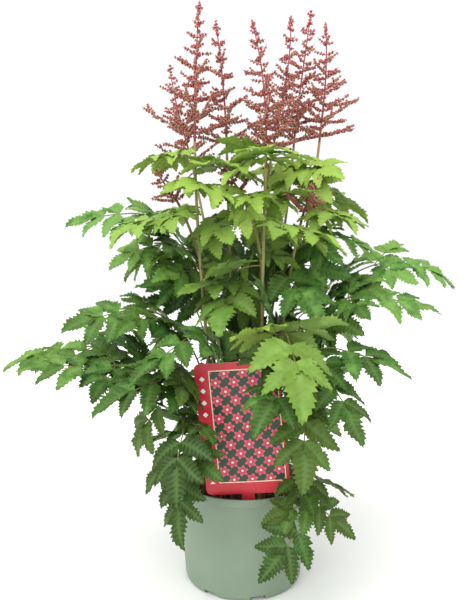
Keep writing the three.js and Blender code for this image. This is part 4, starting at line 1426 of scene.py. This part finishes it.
class ASTILBE_OT_soil(bpy.types.Operator):
    """Fill the pot with potting soil, crumbs and bark"""

    bl_idname = "astilbe.soil"
    bl_label = "Soil"

    def execute(self, context):
        settings = context.scene.astilbe_soil
        rng = np.random.default_rng(SOIL_SEED)
        relief = settings.relief / MM
        waves = [(rng.uniform(0.05, 0.5), rng.uniform(0, 360), rng.uniform(0, 6)) for _ in range(40)]

        def surface(x, y):
            """Height of the soil there."""
            reach = np.hypot(x, y)
            edge = inner_radius(SOIL["top"] - SOIL["edge_drop"])
            fall = np.clip((reach - SOIL["crown"]) / (edge - SOIL["crown"]), 0, 1)
            rough = 0 * reach
            for count, turn, phase in waves:
                way = heading(turn)
                rough = rough + np.sin(count * (x * way[0] + y * way[1]) + phase) * 0.05 / (0.2 + count)
            return SOIL["top"] - SOIL["edge_drop"] * fall + relief * np.clip(rough, -1, 1) * (1 - 0.6 * fall)

        columns = 128
        angles = circle(columns)
        low = POT["floor_top"] + GAP
        edge = SOIL["top"] - SOIL["edge_drop"]
        rim = inner_radius(edge) - GAP
        radii = np.linspace(2, rim, 48)
        x = radii[:, None] * np.cos(angles)
        y = radii[:, None] * np.sin(angles)
        top = np.stack((x, y, surface(x, y)), -1)
        sides = []
        below = ((inner_radius(edge / 2) - GAP, edge / 2), (inner_radius(low) - GAP - 4, low), (2, low))
        for radius, z in below:
            sides.append(np.stack((radius * np.cos(angles), radius * np.sin(angles), z + 0 * angles), -1))
        grid = np.concatenate((top, np.array(sides)))
        ends = ((0, 0, float(surface(np.array(0.0), np.array(0.0)))), (0, 0, low))
        shape = Shape()
        faces = closed_faces(len(grid), columns)
        shape.add(np.concatenate((grid.reshape(-1, 3), ends)), faces, 0, (0, 0, 0, 0))
        crumb = bud_form()
        for i in range(settings.crumbs + settings.chips):
            chip = i >= settings.crumbs
            reach = (rim - 3) * math.sqrt(rng.uniform())
            way = heading(rng.uniform(0, 360))
            size = rng.uniform(3, 8) if chip else rng.uniform(1.2, 4)
            half = size * (rng.uniform(0.18, 0.3) if chip else rng.uniform(0.35, 0.55))
            x, y = way[0] * reach, way[1] * reach
            z = float(surface(np.array(x), np.array(y)))
            forward = heading(rng.uniform(0, 360)) + UP * rng.uniform(-0.5, 0.5)
            at = Place(vec(x, y, z) - forward * size * 0.5 + UP * half * 0.25, forward, UP)
            bark = rng.uniform(0.5, 1) if chip else rng.uniform(0, 0.35) ** 2
            bud(shape, crumb, at, size, half, 0, bark, 0.5)
        shape.piece("potting_soil", (peat(settings),), "potting_soil", "soil")
        return {"FINISHED"}


def card_turn():
    """Turns of the card about x, y and z, in radians."""
    return (math.radians(90 + LABEL["forward"]), math.radians(-LABEL["lean"]), math.radians(LABEL["yaw"]))


class ASTILBE_OT_label(bpy.types.Operator):
    """Stand the card label with its stake in the soil"""

    bl_idname = "astilbe.label"
    bl_label = "Label"

    def execute(self, context):
        settings = context.scene.astilbe_label
        half, corner, height = LABEL["width"] / 2, LABEL["corner"], LABEL["height"]
        stake, depth, point = LABEL["stake_width"] / 2, LABEL["stake_length"], LABEL["point_length"]
        outline = [(-depth, stake * 0.3), (-depth + point, stake), (-depth / 2, stake), (-0.02, stake)]
        for i in range(9):
            angle = math.pi / 2 * i / 8
            outline.append((corner * (1 - math.cos(angle)), half - corner * (1 - math.sin(angle))))
        outline += [(y, half) for y in np.linspace(corner, height - corner, 22)[1:-1]]
        for i in range(9):
            angle = math.pi / 2 * i / 8
            outline.append((height - corner * (1 - math.sin(angle)), half - corner * (1 - math.cos(angle))))
        outline = np.array(outline)
        across = np.linspace(-1, 1, 21)
        x = outline[:, 1:] * across
        y = outline[:, :1] + 0 * across
        up = np.clip(y / height, 0, 1)
        bow = settings.bow / MM
        bend = bow * (1 - (x / half) ** 2) * np.minimum(1, up * 5) + 0.8 * bow * up**2 * (x / half)
        rows, columns = x.shape
        front = np.stack((x, y, bend - 0.5 * bow + LABEL["thick"] / 2), -1)
        back = front - (0, 0, LABEL["thick"])
        turn = np.array(Euler(card_turn(), "XYZ").to_matrix())
        points = np.concatenate((front.reshape(-1, 3), back.reshape(-1, 3))) @ turn.T + LABEL["foot"]
        behind = rows * columns
        faces = grid_faces(rows, columns)
        looks = [0] * len(faces)
        faces += [(a, d, c, b) for a, b, c, d in grid_faces(rows, columns, start=behind)]
        edge = [(i, 0) for i in range(rows)]
        edge += [(rows - 1, j) for j in range(1, columns)]
        edge += [(i, columns - 1) for i in range(rows - 2, -1, -1)]
        edge += [(0, j) for j in range(columns - 2, 0, -1)]
        numbers = [i * columns + j for i, j in edge]
        for a, b in zip(numbers, numbers[1:] + numbers[:1]):
            faces.append((a, b, b + behind, a + behind))
        looks += [1] * (len(faces) - len(looks))
        shape = Shape()
        shape.add(points, faces, looks, (0, 0, 0, 0))
        card = shape.piece(
            "label_card", (printed_card(settings), bare_card(settings)), "card_label", "label"
        )
        card.data.set_sharp_from_angle(angle=math.radians(SHARP["card"]))
        return {"FINISHED"}


# ---- Stage ----


KEY_PLACE, KEY_AIM = (-0.6, -1.5, 2.0), (0, 0, 0.3)
KEY_ANGLE = 60  # degrees; so wide that the shadows stay soft
FLOOR_REACH = 12  # metres to each side


class ASTILBE_OT_stage(bpy.types.Operator):
    """Lay the pale floor and set the soft light and the camera"""

    bl_idname = "astilbe.stage"
    bl_label = "Stage"

    def execute(self, context):
        settings = context.scene.astilbe_stage
        scene = context.scene
        mesh = bpy.data.meshes.new("studio_floor")
        corners = [(x * FLOOR_REACH, y * FLOOR_REACH, 0) for x, y in ((-1, -1), (1, -1), (1, 1), (-1, 1))]
        mesh.from_pydata(corners, [], [(0, 1, 2, 3)])
        mesh.materials.append(studio_paper())
        floor = bpy.data.objects.new("studio_floor", mesh)
        scene.collection.objects.link(floor)

        world = bpy.data.worlds.new("studio_air")
        world.use_nodes = True
        air = world.node_tree.nodes["Background"]
        air.inputs["Color"].default_value = (1, 1, 1, 1)
        air.inputs["Strength"].default_value = settings.sky
        scene.world = world

        light = bpy.data.lights.new("key_light", "SUN")
        light.angle = math.radians(KEY_ANGLE)
        light.energy = settings.key
        key = bpy.data.objects.new("key_light", light)
        key.location = KEY_PLACE
        key.rotation_euler = (Vector(KEY_AIM) - key.location).to_track_quat("-Z", "Y").to_euler()
        scene.collection.objects.link(key)

        lens = bpy.data.cameras.new("camera")
        lens.sensor_fit = "VERTICAL"
        lens.sensor_height = 36
        lens.lens = settings.lens
        camera = bpy.data.objects.new("camera", lens)
        camera.location = (-settings.aside, -settings.distance, settings.height)
        camera.rotation_euler = (math.radians(90), 0, 0)
        scene.collection.objects.link(camera)
        scene.camera = camera
        scene.view_settings.view_transform = "Standard"
        return {"FINISHED"}


# ---- Sidebar, registration and the run ----

SETTINGS = {
    "astilbe_pot": PotSettings,
    "astilbe_soil": SoilSettings,
    "astilbe_label": LabelSettings,
    "astilbe_leaf": LeafSettings,
    "astilbe_flower": FlowerSettings,
    "astilbe_stage": StageSettings,
}
OPERATORS = (
    ASTILBE_OT_stage,
    ASTILBE_OT_pot,
    ASTILBE_OT_soil,
    ASTILBE_OT_label,
    ASTILBE_OT_flower_stems,
    ASTILBE_OT_plumes,
    ASTILBE_OT_leaves,
)


class ASTILBE_PT_sidebar(bpy.types.Panel):
    """Lists the steps that build the plant"""

    bl_idname = "ASTILBE_PT_sidebar"
    bl_label = "Potted Astilbe"
    bl_space_type = "VIEW_3D"
    bl_region_type = "UI"
    bl_category = "Astilbe"

    def draw(self, context):
        for operator in OPERATORS:
            self.layout.operator(operator.bl_idname)


def register():
    for group in SETTINGS.values():
        bpy.utils.register_class(group)
    for name, group in SETTINGS.items():
        setattr(bpy.types.Scene, name, PointerProperty(type=group))
    for operator in OPERATORS:
        bpy.utils.register_class(operator)
    bpy.utils.register_class(ASTILBE_PT_sidebar)


def unregister():
    bpy.utils.unregister_class(ASTILBE_PT_sidebar)
    for operator in reversed(OPERATORS):
        bpy.utils.unregister_class(operator)
    for name in SETTINGS:
        delattr(bpy.types.Scene, name)
    for group in SETTINGS.values():
        bpy.utils.unregister_class(group)


def main():
    register()
    bpy.ops.astilbe.stage()
    bpy.ops.astilbe.pot()
    bpy.ops.astilbe.soil()
    bpy.ops.astilbe.label()
    bpy.ops.astilbe.flower_stems()
    bpy.ops.astilbe.plumes()
    bpy.ops.astilbe.leaves()


if __name__ == "__main__":
    main()
